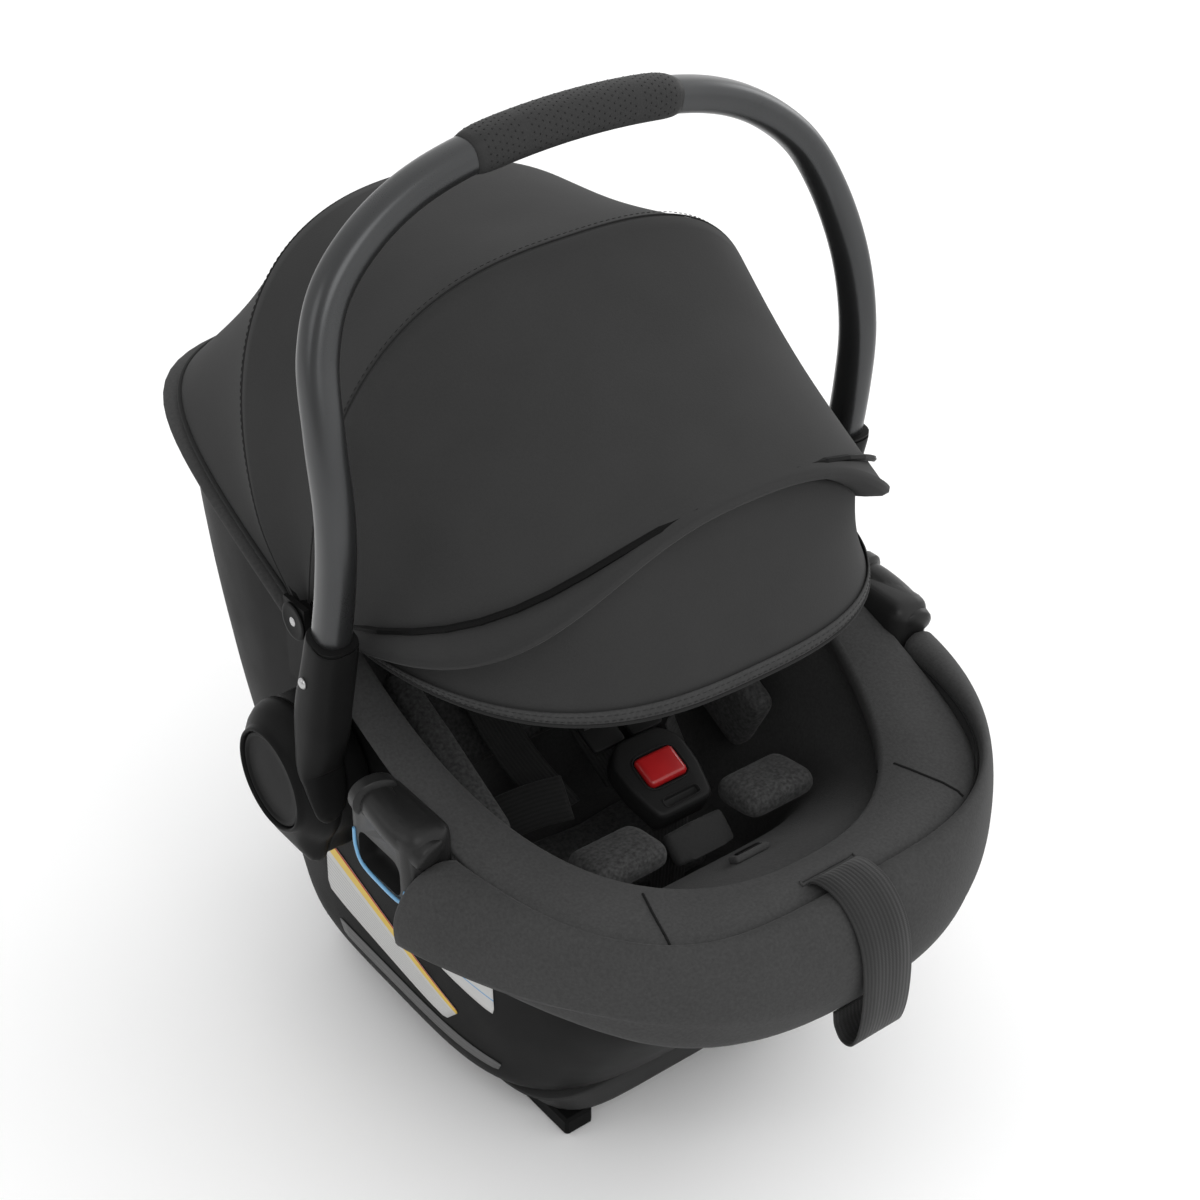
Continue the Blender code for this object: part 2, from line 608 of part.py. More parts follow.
def head_support():
    path = smooth_path([on_back(0.262, 0.082, -0.068), on_back(0.262, 0.052, -0.066),
                        on_back(0.262, 0.043, 0.0),
                        on_back(0.262, 0.052, 0.066), on_back(0.262, 0.082, 0.068)], 4)
    sweep("head_support", path, rounded(0.044, 0.013, 3.0, 12), back_line.normalized(), HEATHER)


head_support()


SHELF_TURN = Matrix.Rotation(math.radians(-36), 4, "X")       # lies on the slope behind the front seam


def side_padding(side, sign):
    lean = Matrix.Rotation(math.atan2(0.5, 1.0), 4, "X")
    box("side_bolster_" + side, (0.024, 0.140, 0.062), (sign * 0.108, -0.006, 0.222), HEATHER, turn=lean,
        edge=0.009)
    box("leg_pad_" + side, (0.062, 0.046, 0.024), (sign * 0.0605, -0.1295, 0.2055), HEATHER,
        turn=Matrix.Rotation(math.radians(-8), 4, "X"), edge=0.010)
    strap("shoulder_strap_" + side, [on_back(0.205, 0.0275, sign * 0.036), on_back(0.190, 0.034, sign * 0.036),
                                     on_back(0.120, 0.040, sign * 0.034), on_back(0.060, 0.052, sign * 0.030),
                                     on_back(0.012, 0.080, sign * 0.026)], width=0.030)
    strap("lap_strap_" + side, [(sign * 0.094, -0.004, 0.150), (sign * 0.080, -0.020, 0.172),
                                (sign * 0.060, -0.040, 0.190), (sign * 0.044, -0.056, 0.200)],
          side=Vector((0, 0.6, 0.8)), width=0.030)


both(side_padding)
box("seat_pad", (0.120, 0.090, 0.016), (0, -0.040, 0.1145), HEATHER, edge=0.006)
CROTCH_LEAN = Vector((0, 0.72, 0.69)).normalized()            # the pad leans back up to the buckle
sweep("crotch_pad", [Vector((0, -0.1445, 0.1870)) + CROTCH_LEAN * (0.0065 * i) for i in range(5)],
      rounded(0.0270, 0.0095, 3.0, 16), Vector((1, 0, 0)), HEATHER)


# ---------------------------------------------------------------- harness
BUCKLE = Vector((0, -0.094, 0.219))
BUCKLE_TURN = Matrix.Rotation(math.radians(24), 4, "X")
BUCKLE_SIZE = Vector((0.056, 0.062, 0.020))
BUTTON_SIZE = Vector((0.030, 0.022, 0.008))


def in_buckle(x, y, z):
    """A place in the buckle's own frame: y towards the chest, z out of its face."""
    return BUCKLE + BUCKLE_TURN.to_3x3() @ Vector((x, y, z))


buckle = box("buckle", BUCKLE_SIZE, BUCKLE, SHELL, turn=BUCKLE_TURN, edge=0.005)
combine(buckle, box("cut_red", (BUTTON_SIZE.x + 0.0012, BUTTON_SIZE.y + 0.0012, 0.016),
                    in_buckle(0, 0.002, BUCKLE_SIZE.z / 2 + 0.0005), None, turn=BUCKLE_TURN, collection=cutters))
box("buckle_button", BUTTON_SIZE, in_buckle(0, 0.002, BUCKLE_SIZE.z / 2 - 0.0005), RED, turn=BUCKLE_TURN,
    edge=0.002, segments=1)
for tongue_side, sign in (("left", -1), ("right", 1)):
    box("tongue_" + tongue_side, (0.024, 0.026, 0.004), in_buckle(sign * 0.0155, BUCKLE_SIZE.y / 2 + 0.0136, 0),
        STEEL, turn=BUCKLE_TURN, edge=0.001, segments=1)
strap("crotch_strap", [(0, -0.098, 0.098), (0, -0.104, 0.130), (0, -0.107, 0.170), (0, -0.1065, 0.1985)],
      width=0.030)

ADJUSTER = Vector((0, -0.183, 0.2160))
ADJUSTER_SIZE = Vector((0.027, 0.011, 0.005))
ADJUSTER_KEY = Vector((0.019, 0.005, 0.004))


def in_adjuster(x, y, z):
    """A place in the strap adjuster's own frame, z out of the padding."""
    return ADJUSTER + SHELF_TURN.to_3x3() @ Vector((x, y, z))


frame = box("adjuster_frame", ADJUSTER_SIZE, ADJUSTER, HUB, turn=SHELF_TURN)
combine(frame, box("cut_key", (ADJUSTER_KEY.x + 0.0012, ADJUSTER_KEY.y + 0.0012, 0.02), ADJUSTER, None,
                   turn=SHELF_TURN, collection=cutters))
box("adjuster_key", ADJUSTER_KEY, in_adjuster(0, 0, 0.0018), HUB, turn=SHELF_TURN)

strap("pull_strap", [(0, -0.2560, 0.2510), (0, -0.2680, 0.2555), (0, -0.2820, 0.2535), (0, -0.2945, 0.2445),
                     (0, -0.3030, 0.2300), (0, -0.3070, 0.207), (0, -0.3068, 0.178), (0, -0.3020, 0.158),
                     (0, -0.2930, 0.153), (0, -0.2860, 0.160), (0, -0.2840, 0.170)])

# ---------------------------------------------------------------- rear release lever
box("release_lever", (0.070, 0.012, 0.022), (0, 0.2500, 0.232), HUB, edge=0.003)


# ---------------------------------------------------------------- joint axes and the part's own origin
def axis_empty(name, place, parent):
    """An empty on a joint's axis; the pieces that turn or slide there are its children."""
    made = bpy.data.objects.new(name, None)
    made.empty_display_size = 0.03
    seat.objects.link(made)
    made.parent = parent
    made.location = Vector(place) - (parent.location if parent else Vector())
    return made


def carry(pieces, empty):
    """Parents the pieces to the empty and leaves them where they are."""
    bpy.context.view_layer.update()
    for piece in pieces:
        made = bpy.data.objects[piece]
        made.parent = empty
        made.matrix_parent_inverse = empty.matrix_world.inverted()


origin = axis_empty("seat_origin", (0, 0, 0), None)
handle_axis = axis_empty("handle_axis", (0, HUB_Y, HUB_Z), origin)
canopy_axis = axis_empty("canopy_axis", (0, PIVOT_Y, PIVOT_Z), origin)
SIDES = ("left", "right")
on_handle = ["handle_tube", "grip"] + [f"{piece}_{side}" for side in SIDES for piece in
                                       ("yoke", "yoke_rivet", "hub_inner", "hub_outer", "release_button")]
on_canopy = ["bow_" + name for name in BOWS] + ["canopy_rear_panel", "canopy_middle_panel",
                                                "canopy_front_panel", "canopy_shade_panel"]
carry(on_handle, handle_axis)
carry(on_canopy, canopy_axis)
moving = set(on_handle + on_canopy)
carry([piece.name for piece in seat.objects if piece.type == "MESH" and piece.name not in moving], origin)

# the drawing's zero is near the handle; the part's origin is under the middle of its length
lengthwise = [(piece.matrix_world @ Vector(corner)).y for piece in seat.objects if piece.type == "MESH"
              for corner in piece.bound_box]
origin.location.y = -(min(lengthwise) + max(lengthwise)) / 2
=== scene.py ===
"""Looks of an infant car seat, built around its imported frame: metres, +Z up, -Y the foot end."""
import math

import bmesh
import bpy
import numpy as np
from mathutils import Matrix, Vector
from mathutils.bvhtree import BVHTree


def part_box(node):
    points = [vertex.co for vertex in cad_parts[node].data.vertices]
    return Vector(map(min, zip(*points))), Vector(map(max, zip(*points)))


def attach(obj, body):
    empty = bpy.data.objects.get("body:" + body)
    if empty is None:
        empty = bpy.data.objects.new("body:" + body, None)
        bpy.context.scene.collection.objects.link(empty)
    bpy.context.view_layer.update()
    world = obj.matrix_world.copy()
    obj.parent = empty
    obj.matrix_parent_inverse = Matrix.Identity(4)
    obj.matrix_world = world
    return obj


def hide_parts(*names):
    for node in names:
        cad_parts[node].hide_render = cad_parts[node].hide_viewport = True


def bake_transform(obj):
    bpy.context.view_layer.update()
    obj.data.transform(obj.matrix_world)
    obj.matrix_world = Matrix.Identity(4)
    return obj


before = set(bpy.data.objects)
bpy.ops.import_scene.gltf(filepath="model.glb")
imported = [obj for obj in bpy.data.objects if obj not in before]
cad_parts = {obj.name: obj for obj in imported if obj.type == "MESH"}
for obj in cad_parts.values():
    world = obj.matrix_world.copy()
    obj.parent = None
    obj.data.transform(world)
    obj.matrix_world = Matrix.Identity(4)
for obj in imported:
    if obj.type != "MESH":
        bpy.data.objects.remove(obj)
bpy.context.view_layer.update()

SIDES = (("left", -1), ("right", 1))


def placed(name, data):
    """A new object of this data, linked to the scene."""
    made = bpy.data.objects.new(name, data)
    bpy.context.scene.collection.objects.link(made)
    return made


# ---------------------------------------------------------------- table, lamps and camera
# The seat stands on a seamless white table under three large soft lamps, one over the foot end, one
# behind its left shoulder and one low on the right.  The white room round it is dimmer on the left.
table = bpy.data.meshes.new("table_top")
table.from_pydata([(-6, -6, -0.0012), (6, -6, -0.0012), (6, 6, -0.0012), (-6, 6, -0.0012)], [],
                  [(0, 1, 2, 3)])
table_top = placed("table_top", table)
white = bpy.data.materials.new("white_table")
white.use_nodes = True
white.node_tree.nodes["Principled BSDF"].inputs["Base Color"].default_value = (0.97, 0.97, 0.97, 1)
white.node_tree.nodes["Principled BSDF"].inputs["Roughness"].default_value = 0.9
table.materials.append(white)

room = bpy.data.worlds.new("white_room")
room.use_nodes = True
room.node_tree.nodes["Background"].inputs["Color"].default_value = (1, 1, 1, 1)
look = room.node_tree.nodes.new("ShaderNodeTexCoord")
parts = room.node_tree.nodes.new("ShaderNodeSeparateXYZ")
dimmed = room.node_tree.nodes.new("ShaderNodeMath")
dimmed.operation = "MULTIPLY_ADD"
dimmed.inputs[1].default_value, dimmed.inputs[2].default_value = 0.5, 1.03
room.node_tree.links.new(look.outputs["Generated"], parts.inputs[0])
room.node_tree.links.new(parts.outputs["X"], dimmed.inputs[0])
room.node_tree.links.new(dimmed.outputs[0], room.node_tree.nodes["Background"].inputs["Strength"])
bpy.context.scene.world = room
for lamp_name, place, size, watts in (
        ("foot_lamp", (-0.9, -1.9, 2.3), 1.6, 18), ("shoulder_lamp", (-2.3, 0.9, 1.5), 1.1, 6),
        ("right_lamp", (2.2, 0.2, 1.2), 1.0, 8)):
    lamp = bpy.data.lights.new(lamp_name, "AREA")
    lamp.size, lamp.energy = size, watts
    hung = placed(lamp_name, lamp)
    hung.location = place
    hung.rotation_euler = (Vector((0, 0, 0.3)) - Vector(place)).to_track_quat("-Z", "Y").to_euler()

lens = bpy.data.cameras.new("camera")
lens.lens, lens.sensor_width = 68.94, 36.0
camera = placed("camera", lens)
camera.location = (-0.7327, -0.9695, 1.1330)
camera.rotation_euler = (math.radians(56), 0, math.radians(-37.594793))
bpy.context.scene.camera = camera
bpy.context.scene.view_settings.view_transform = "Standard"


# ---------------------------------------------------------------- carrier shell
# One deep injection-moulded bucket of black polypropylene, 4 mm thick, with a fine spark-eroded texture
# and a rolled rim.  It stands on the base pan and everything else hangs on it.
class Wire:
    """One socket of a node tree; the usual operators add Math nodes."""

    def __init__(self, nodes, socket):
        self.nodes, self.socket = nodes, socket

    def math(self, operation, *others, first=None):
        values = ([] if first is None else [first]) + [self, *others]
        return self.nodes.add("ShaderNodeMath", {"operation": operation}, dict(enumerate(values)))

    def __add__(self, other): return self.math("ADD", other)
    def __radd__(self, other): return self.math("ADD", other)
    def __sub__(self, other): return self.math("SUBTRACT", other)
    def __rsub__(self, other): return self.math("SUBTRACT", first=other)
    def __mul__(self, other): return self.math("MULTIPLY", other)
    def __rmul__(self, other): return self.math("MULTIPLY", other)
    def __gt__(self, other): return self.math("GREATER_THAN", other)
    def __lt__(self, other): return self.math("LESS_THAN", other)


class Nodes:
    """Adds nodes to one tree."""

    def __init__(self, tree):
        self.tree = tree

    def add(self, kind, settings=None, inputs=None, out=0):
        """A node of this kind with its settings made first, then its sockets set or linked; one output."""
        node = self.tree.nodes.new(kind)
        for name, value in (settings or {}).items():
            if name == "stops":
                ramp = node.color_ramp.elements
                while len(ramp) < len(value):
                    ramp.new(1.0)
                for element, (place, tone) in zip(ramp, value):
                    element.position, element.color = place, (*tone, 1)
            else:
                setattr(node, name, value)
        for key, value in (inputs or {}).items():
            if isinstance(value, Wire):
                self.tree.links.new(value.socket, node.inputs[key])
            else:
                node.inputs[key].default_value = value
        return Wire(self, node.outputs[out])


class Finish:
    """A material: its node builder, its shader and the patterns that feed it."""

    def __init__(self, name, **sockets):
        self.material = bpy.data.materials.new(name)
        self.material.use_nodes = True
        self.nodes = Nodes(self.material.node_tree)
        self.shader = self.material.node_tree.nodes["Principled BSDF"]
        for key, value in sockets.items():
            self.shader.inputs[key.replace("_", " ")].default_value = value
        self.place = self.nodes.add("ShaderNodeTexCoord", out="Object")
        self.flat = self.nodes.add("ShaderNodeTexCoord", out="UV")

    def noise(self, size, detail=2.0, where=None, rough=0.5):
        """Cloudy values round 0.5 whose blots are about this size."""
        return self.nodes.add("ShaderNodeTexNoise", {}, {
            "Vector": where or self.place, "Scale": 1 / size, "Detail": detail, "Roughness": rough})

    def threads(self, pitch, where=None):
        """A crossing-thread height, -1 to 1, that runs through space at this pitch."""
        parts = self.nodes.add("ShaderNodeSeparateXYZ", {}, {"Vector": where or self.place})
        x, y, z = (Wire(self.nodes, parts.socket.node.outputs[k]) for k in range(3))
        sx, sy, sz = ((v * (2 * math.pi / pitch)).math("SINE") for v in (x, y, z))
        return (sx * sy + sy * sz + sz * sx) * 0.6

    def colour(self, dark, light, share):
        """Base colour from dark to light by share."""
        mixed = self.nodes.add("ShaderNodeMix", {"data_type": "RGBA"},
                               {0: share, 6: (*dark, 1), 7: (*light, 1)}, out=2)
        self.nodes.tree.links.new(mixed.socket, self.shader.inputs["Base Color"])
        return mixed

    def rough(self, value):
        self.nodes.tree.links.new(value.socket, self.shader.inputs["Roughness"])

    def relief(self, height, depth, strength=1.0):
        """Bump of this depth, in metres, from a height of about 0 to 1."""
        bump = self.nodes.add("ShaderNodeBump", {},
                              {"Height": height, "Distance": depth, "Strength": strength})
        self.nodes.tree.links.new(bump.socket, self.shader.inputs["Normal"])


def grey(tone, warm=0.0):
    return (tone * (1 + warm), tone, tone * (1 - warm))


def moulded(name, tone, grain=0.0006, gloss=0.48, shine=0.04):
    """Textured black plastic: eroded grain, faint cloudiness and slightly polished high spots."""
    made = Finish(name, Specular_IOR_Level=shine)
    cloud = made.noise(0.035, 3.0)
    fine = made.noise(grain, 2.0)
    made.colour(grey(tone * 0.90), grey(tone * 1.12), cloud)
    made.rough(gloss + (cloud - 0.5) * 0.16 + (fine - 0.5) * 0.10)
    made.relief(fine + cloud * 0.4, 0.00012, 0.55)
    return made.material


SHELL_PLASTIC = moulded("shell_plastic", 0.0060)
# painted light: the pan is the shell's black plastic, made far lighter so its shaded foot end reads bright
PAN_PLASTIC_PAINTED_LIGHT = moulded("pan_plastic_painted_light", 0.0380)
hub_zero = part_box("handle_axle_left")
AXIS_BACK, PIN_BACK = 0.025, 0.033                      # handle axis and canopy pin behind the drawing's zero
AHEAD = (hub_zero[0].y + hub_zero[1].y) / 2 - AXIS_BACK  # from the drawing's zero to the seat's own
AXIS = np.array([0.0, AHEAD + AXIS_BACK, 0.245])        # the handle's axis runs along X through here
RIM_FRONT_Z, RIM_REAR_Z = 0.232, 0.406
SHELL_HALF, SHELL_FRONT, SHELL_REAR = 0.166, -0.253, 0.271
SHELL_LEVELS = [  # height at the foot end and at the head end, half width, front and rear
    (0.034, 0.038, 0.137, -0.142, 0.150), (0.048, 0.054, 0.149, -0.156, 0.165),
    (0.080, 0.102, 0.154, -0.181, 0.184), (0.120, 0.170, 0.160, -0.210, 0.212),
    (0.165, 0.245, 0.164, -0.238, 0.240),
    (0.205, 0.330, SHELL_HALF, -0.250, 0.262),
    (RIM_FRONT_Z, RIM_REAR_Z, SHELL_HALF, SHELL_FRONT, SHELL_REAR)]


def climb(share):
    share = np.clip(share, 0.0, 1.0)
    return share * share * (3 - 2 * share)


def squarish(cosine, square):
    """The coordinate of an oval of this squareness; 2 is an ellipse."""
    return np.sign(cosine) * abs(cosine) ** (2 / square)


def averaged(ring, rounds=3):
    """A closed ring with its corners rounded by averaging neighbours."""
    for _ in range(rounds):
        ring = (np.roll(ring, 1, 0) + 2 * ring + np.roll(ring, -1, 0)) / 4
    return ring


def even(points, count, closed=False):
    """The same line through evenly spaced points."""
    line = np.array(points, float)
    if closed:
        line = np.vstack([line, line[:1]])
    reach = np.concatenate([[0], np.cumsum(np.linalg.norm(np.diff(line, axis=0), axis=1))])
    where = np.linspace(0, reach[-1], count + closed)[:count]
    return np.column_stack([np.interp(where, reach, line[:, k]) for k in range(line.shape[1])])


def curve(points, per_span):
    """A smooth line through the points, with per_span steps between each pair."""
    p = np.array(points, float)
    p = np.vstack([2 * p[0] - p[1], p, 2 * p[-1] - p[-2]])
    t = (np.arange(per_span) / per_span)[:, None]
    made = [0.5 * (2 * b + (c - a) * t + (2 * a - 5 * b + 4 * c - d) * t ** 2 + (3 * b - a - 3 * c + d) * t ** 3)
            for a, b, c, d in zip(p, p[1:], p[2:], p[3:])]
    return np.vstack([*made, p[-2:-1]])


def level(front_z, rear_z, half, front, rear, square=4.0, grow=0.0, lift=0.0, rear_lift=None, count=128):
    """One ring of the bucket: a squarish oval that climbs from the foot end to the head end."""
    turn = np.linspace(0, 2 * math.pi, 480, endpoint=False)
    c, s = np.cos(turn), np.sin(turn)
    x = squarish(c, square) * (half + grow)
    y = squarish(s, square)
    raised = lift if rear_lift is None else lift + (rear_lift - lift) * climb((y + 1) * 1.05)
    z = front_z + (rear_z - front_z) * climb((y + 1) / 2) + raised
    middle, reach = AHEAD + (front + rear) / 2, (rear - front) / 2 + grow
    return even(np.column_stack([x, middle + y * reach, z]), count, closed=True)


def skin(name, rows, finish, ring=True, closed=False, caps=True):
    """A smooth mesh over rows of points, UV in metres.  ring joins each row's ends, closed the rows'."""
    rows = np.array(rows, float)
    tall, wide = rows.shape[:2]
    aside = np.concatenate([rows, rows[:, :1]], 1)
    onward = np.concatenate([rows, rows[:1]], 0)
    u = np.concatenate([[0], np.cumsum(np.linalg.norm(np.diff(aside, axis=1), axis=2).mean(0))])
    v = np.concatenate([[0], np.cumsum(np.linalg.norm(np.diff(onward, axis=0), axis=2).mean(1))])
    shape = bmesh.new()
    uv = shape.loops.layers.uv.new("UVMap")
    verts = [[shape.verts.new(point) for point in row] for row in rows]
    for i in range(tall if closed else tall - 1):
        for j in range(wide if ring else wide - 1):
            corners = ((i, j), (i, j + 1), (i + 1, j + 1), (i + 1, j))
            face = shape.faces.new([verts[a % tall][b % wide] for a, b in corners])
            for loop, (a, b) in zip(face.loops, corners):
                loop[uv].uv = (u[b], v[a])
    if ring and caps and not closed:
        shape.faces.new(verts[0])
        shape.faces.new(verts[-1])
    bmesh.ops.remove_doubles(shape, verts=shape.verts, dist=1e-6)
    return settle_mesh(name, shape, finish)


def settle_mesh(name, shape, finish):
    """The bmesh as a smooth-shaded object with its faces outwards."""
    bmesh.ops.recalc_face_normals(shape, faces=shape.faces)
    for face in shape.faces:
        face.smooth = True
    mesh = bpy.data.meshes.new(name)
    shape.to_mesh(mesh)
    shape.free()
    mesh.materials.append(finish)
    return placed(name, mesh)


def applied(obj):
    """Makes the mesh that obj's modifiers give its own."""
    bpy.context.view_layer.update()
    result = bpy.data.meshes.new_from_object(obj.evaluated_get(bpy.context.evaluated_depsgraph_get()))
    obj.modifiers.clear()
    obj.data = result
    return obj


def thickened(obj, thickness, offset):
    """A sheet given this thickness; offset 0 lays it on both sides, 1 outside and -1 inside."""
    thick = obj.modifiers.new("thickness", "SOLIDIFY")
    thick.thickness, thick.offset = thickness, offset
    return obj


def mount(obj, body, stands_for=()):
    """Rides obj on its body and hides the solids that it stands for."""
    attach(obj, body)
    if stands_for:
        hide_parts(*([stands_for] if isinstance(stands_for, str) else stands_for))
    return obj


fine_levels = curve(SHELL_LEVELS, 5)
shell_rows = [level(*row) for row in fine_levels[:-1]]
shell_rows += [level(*fine_levels[-1], lift=-0.0030), level(*fine_levels[-1], lift=-0.0006, grow=-0.0004),
               level(*fine_levels[-1], lift=0.0, grow=-0.0012),
               level(*fine_levels[-1], lift=0.0, grow=-0.0030),
               level(*fine_levels[-1], lift=-0.0010, grow=-0.0038)]
shell_rows += [level(*row, grow=-0.004) for row in fine_levels[-2:2:-3]]
shell_rows += [level(*fine_levels[0], grow=-0.004, lift=0.004)]
shell = mount(skin("carrier_shell", shell_rows, SHELL_PLASTIC), "carrier", "shell")

# ---------------------------------------------------------------- base pan, feet and latch bars
# A shallow moulded pan closes the bottom of the shell; two skids under it carry the seat, and two steel
# bars between them are what a car base or a stroller frame latches on to.
BASE_FRONT, BASE_REAR = -0.143, 0.140
pan_rows = [level(z, z, half, front, rear, square=7.0) for z, half, front, rear in (
    (0.0145, 0.113, BASE_FRONT + 0.003, BASE_REAR - 0.003), (0.0148, 0.1155, BASE_FRONT + 0.0005, BASE_REAR),
    (0.0170, 0.1165, BASE_FRONT, BASE_REAR + 0.001), (0.0270, 0.1220, BASE_FRONT, 0.146),
    (0.0325, 0.1320, BASE_FRONT + 0.0004, 0.1488), (0.0335, 0.1310, BASE_FRONT + 0.002, 0.1475))]
# the lighter pan plastic paints light onto the shaded foot end
mount(skin("base_tray", pan_rows, PAN_PLASTIC_PAINTED_LIGHT), "carrier", "base_pan")


def steel(name, tone=0.46):
    """Zinc-plated steel with fine drawn lines along X."""
    made = Finish(name, Metallic=1.0)
    stretch = made.nodes.add("ShaderNodeMapping", {}, {"Vector": made.place, "Scale": (0.05, 1.0, 1.0)})
    lines = made.noise(0.0004, 2.0, stretch)
    made.colour(grey(tone * 0.85), grey(tone * 1.1), lines)
    made.rough(0.24 + lines * 0.18)
    made.relief(lines, 0.00005, 0.4)
    return made.material


STEEL = steel("steel")


def dress(finish, *nodes):
    """Gives CAD pieces that are shown as they are their finish."""
    for node in nodes:
        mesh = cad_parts[node].data
        mesh.materials.clear()
        mesh.materials.append(finish)


dress(SHELL_PLASTIC, "runner_left", "runner_right")
dress(STEEL, "latch_bar_front", "latch_bar_rear", "handle_axle_left", "handle_axle_right")
FOAM = Finish("foam")
beads = FOAM.nodes.add("ShaderNodeTexVoronoi", {}, {"Vector": FOAM.place, "Scale": 1 / 0.0035})
FOAM.colour(grey(0.50), grey(0.66), beads)
FOAM.rough(0.80 + beads * 0.15)
FOAM.relief(beads, 0.0005, 0.6)
dress(FOAM.material, "foam_liner")

# ---------------------------------------------------------------- seat liner
# A quilted polyester liner lines the foam and folds over the shell's rim as a soft brim.  It is cut from
# five panels, whose seams run from the brim down into the seat at both sides of the foot end.


def cloth(name, tone, pitch=0.0009, melange=0.25, depth=0.00022, warm=0.0, sheen=0.05):
    """Woven or knitted polyester: crossing threads, mixed dark and light yarns and a matt bloom."""
    made = Finish(name, Sheen_Weight=sheen, Sheen_Roughness=0.45, Specular_IOR_Level=0.08)
    yarn = made.noise(pitch * 2.2, 1.5)
    cloud = made.noise(0.06, 2.0)
    weave = made.threads(pitch)
    share = (yarn - 0.5) * 2.4 * melange + (cloud - 0.5) * 0.35 + weave * 0.03 + 0.5
    made.colour(grey(tone * 0.62, warm), grey(tone * 1.38, warm), share)
    made.rough(0.86 + (yarn - 0.5) * 0.2)
    made.relief(weave * 0.12 + yarn * 0.9, depth, 0.8)
    return made.material


COVER_CLOTH = cloth("cover_fabric", 0.0450, melange=0.30)
LINER_CLOTH = cloth("liner_fabric", 0.0540, melange=0.30)
SEAT_LEVELS = [(0.092, 0.104, 0.092, -0.105, 0.030, 4.0), (0.145, 0.165, 0.120, -0.122, 0.075, 4.0),
               (0.186, 0.240, 0.134, -0.150, 0.135, 4.0), (0.222, 0.320, 0.142, -0.197, 0.195, 4.0),
               (RIM_FRONT_Z, RIM_REAR_Z, 0.150, -0.232, 0.250, 2.4)]
CROWN, CROWN_REAR = 0.0165, 0.003
seat_fine = curve(SEAT_LEVELS, 5)
liner_rows = [level(*row, grow=0.006, lift=-0.006 if i < 16 else 0.0) for i,
              row in enumerate(seat_fine[:-1])][::4]
for grow, up in ((-0.008, 0.06), (0.0090, 0.06), (0.0120, 0.20), (0.0132, 0.45), (0.0130, 0.66),
                 (0.0115, 0.82),
                 (0.0070, 0.96), (-0.0020, 1.06)):
    liner_rows.append(level(*SHELL_LEVELS[-1], grow=grow, lift=CROWN * up,
                            rear_lift=CROWN_REAR * up + 0.0008))
liner_rows.append(level(*SEAT_LEVELS[-1], grow=0.0030, lift=CROWN, rear_lift=CROWN_REAR))
liner_rows.append(level(*SEAT_LEVELS[-1], grow=0.0, lift=CROWN * 0.8, rear_lift=CROWN_REAR * 0.8))
liner_rows += [level(*row) for row in seat_fine[::-1]]
liner = skin("seat_liner_cloth", liner_rows, LINER_CLOTH)
mount(liner, "carrier", "seat_liner")

# ---------------------------------------------------------------- padded rim cover
# A thick foam roll sewn into the same polyester runs round the foot end, from one adapter socket to the
# other.  A seam joins it to the liner, and its elastic hem tucks under against the shell.
SEAM_OUT = 0.0138
COVER_HALF, COVER_FRONT, COVER_CENTRE = 0.227, -0.303, -0.060
COVER_START = math.radians(15.0)


def cover_angle(i, count):
    """The i-th of count steps from one end of the roll to the other."""
    return COVER_START + (math.pi - 2 * COVER_START) * i / count


def plan_point(angle, half, centre, front, square):
    """A point of a squarish oval round the foot end, seen from above."""
    c, s = math.cos(angle), math.sin(angle)
    return np.array([math.copysign(abs(c) ** (2 / square), c) * half,
                     AHEAD + centre - abs(s) ** (2 / square) * (centre - front), 0.0])


def cover_section(angle):
    """The roll's section: seam, crown, outermost line, hem and back up against the shell."""
    seam = plan_point(angle, SHELL_HALF + SEAM_OUT, (SHELL_FRONT + SHELL_REAR) / 2, SHELL_FRONT - SEAM_OUT,
                      4.0)
    out = plan_point(angle, COVER_HALF, COVER_CENTRE, COVER_FRONT, 2.0)
    front = math.sin(angle) ** 3
    seam_z, hem_z = 0.266 - 0.016 * front, 0.204 - 0.034 * front
    rows = [(0.00, seam_z - 0.004), (0.05, seam_z + 0.0015), (0.22, seam_z + 0.0042), (0.45, seam_z + 0.0022),
            (0.70, seam_z - 0.005), (0.90, seam_z - 0.0175), (1.00, seam_z - 0.032), (0.98, seam_z - 0.048),
            (0.82, hem_z + 0.019), (0.55, hem_z + 0.005), (0.25, hem_z), (0.08, hem_z + 0.004),
            (0.02, (seam_z + hem_z) / 2)]
    ring = [seam + (out - seam) * share + np.array([0, 0, z]) for share, z in rows]
    return even(curve(ring + ring[:1], 5)[:-1], 56, closed=True)


cover_rows = [cover_section(cover_angle(i, 120)) for i in range(121)]
ends = []
for end, other in ((cover_rows[0], cover_rows[1]), (cover_rows[-1], cover_rows[-2])):
    outward = (end.mean(0) - other.mean(0)) / np.linalg.norm(end.mean(0) - other.mean(0))
    ends.append([end.mean(0) + (end - end.mean(0)) * math.cos(a) ** 0.6 + outward * 0.006 * math.sin(a)
                 for a in np.radians((25, 50, 70, 85))])
cover = skin("rim_cover_roll", ends[0][::-1] + cover_rows + ends[1], COVER_CLOTH)
mount(cover, "carrier", "rim_cover")

# ---------------------------------------------------------------- cover seams
# Lock-stitched seams in dark polyester thread: the groove between roll and liner and the cross seams of the
# front panel are dark tubes, real seams that also carry painted shade of their grooves, and a sewn slot edge
# where the harness strap comes out.


def growth(name, sockets):
    """An empty Geometry Nodes tree with these named inputs: the tree, its builder and its inputs."""
    tree = bpy.data.node_groups.new(name, "GeometryNodeTree")
    tree.interface.new_socket("Geometry", in_out="INPUT", socket_type="NodeSocketGeometry")
    for label, kind in sockets:
        tree.interface.new_socket(label, in_out="INPUT", socket_type=kind)
    tree.interface.new_socket("Geometry", in_out="OUTPUT", socket_type="NodeSocketGeometry")
    nodes = Nodes(tree)
    given = tree.nodes.new("NodeGroupInput")
    return tree, nodes, {socket.name: Wire(nodes, socket) for socket in given.outputs if socket.name}


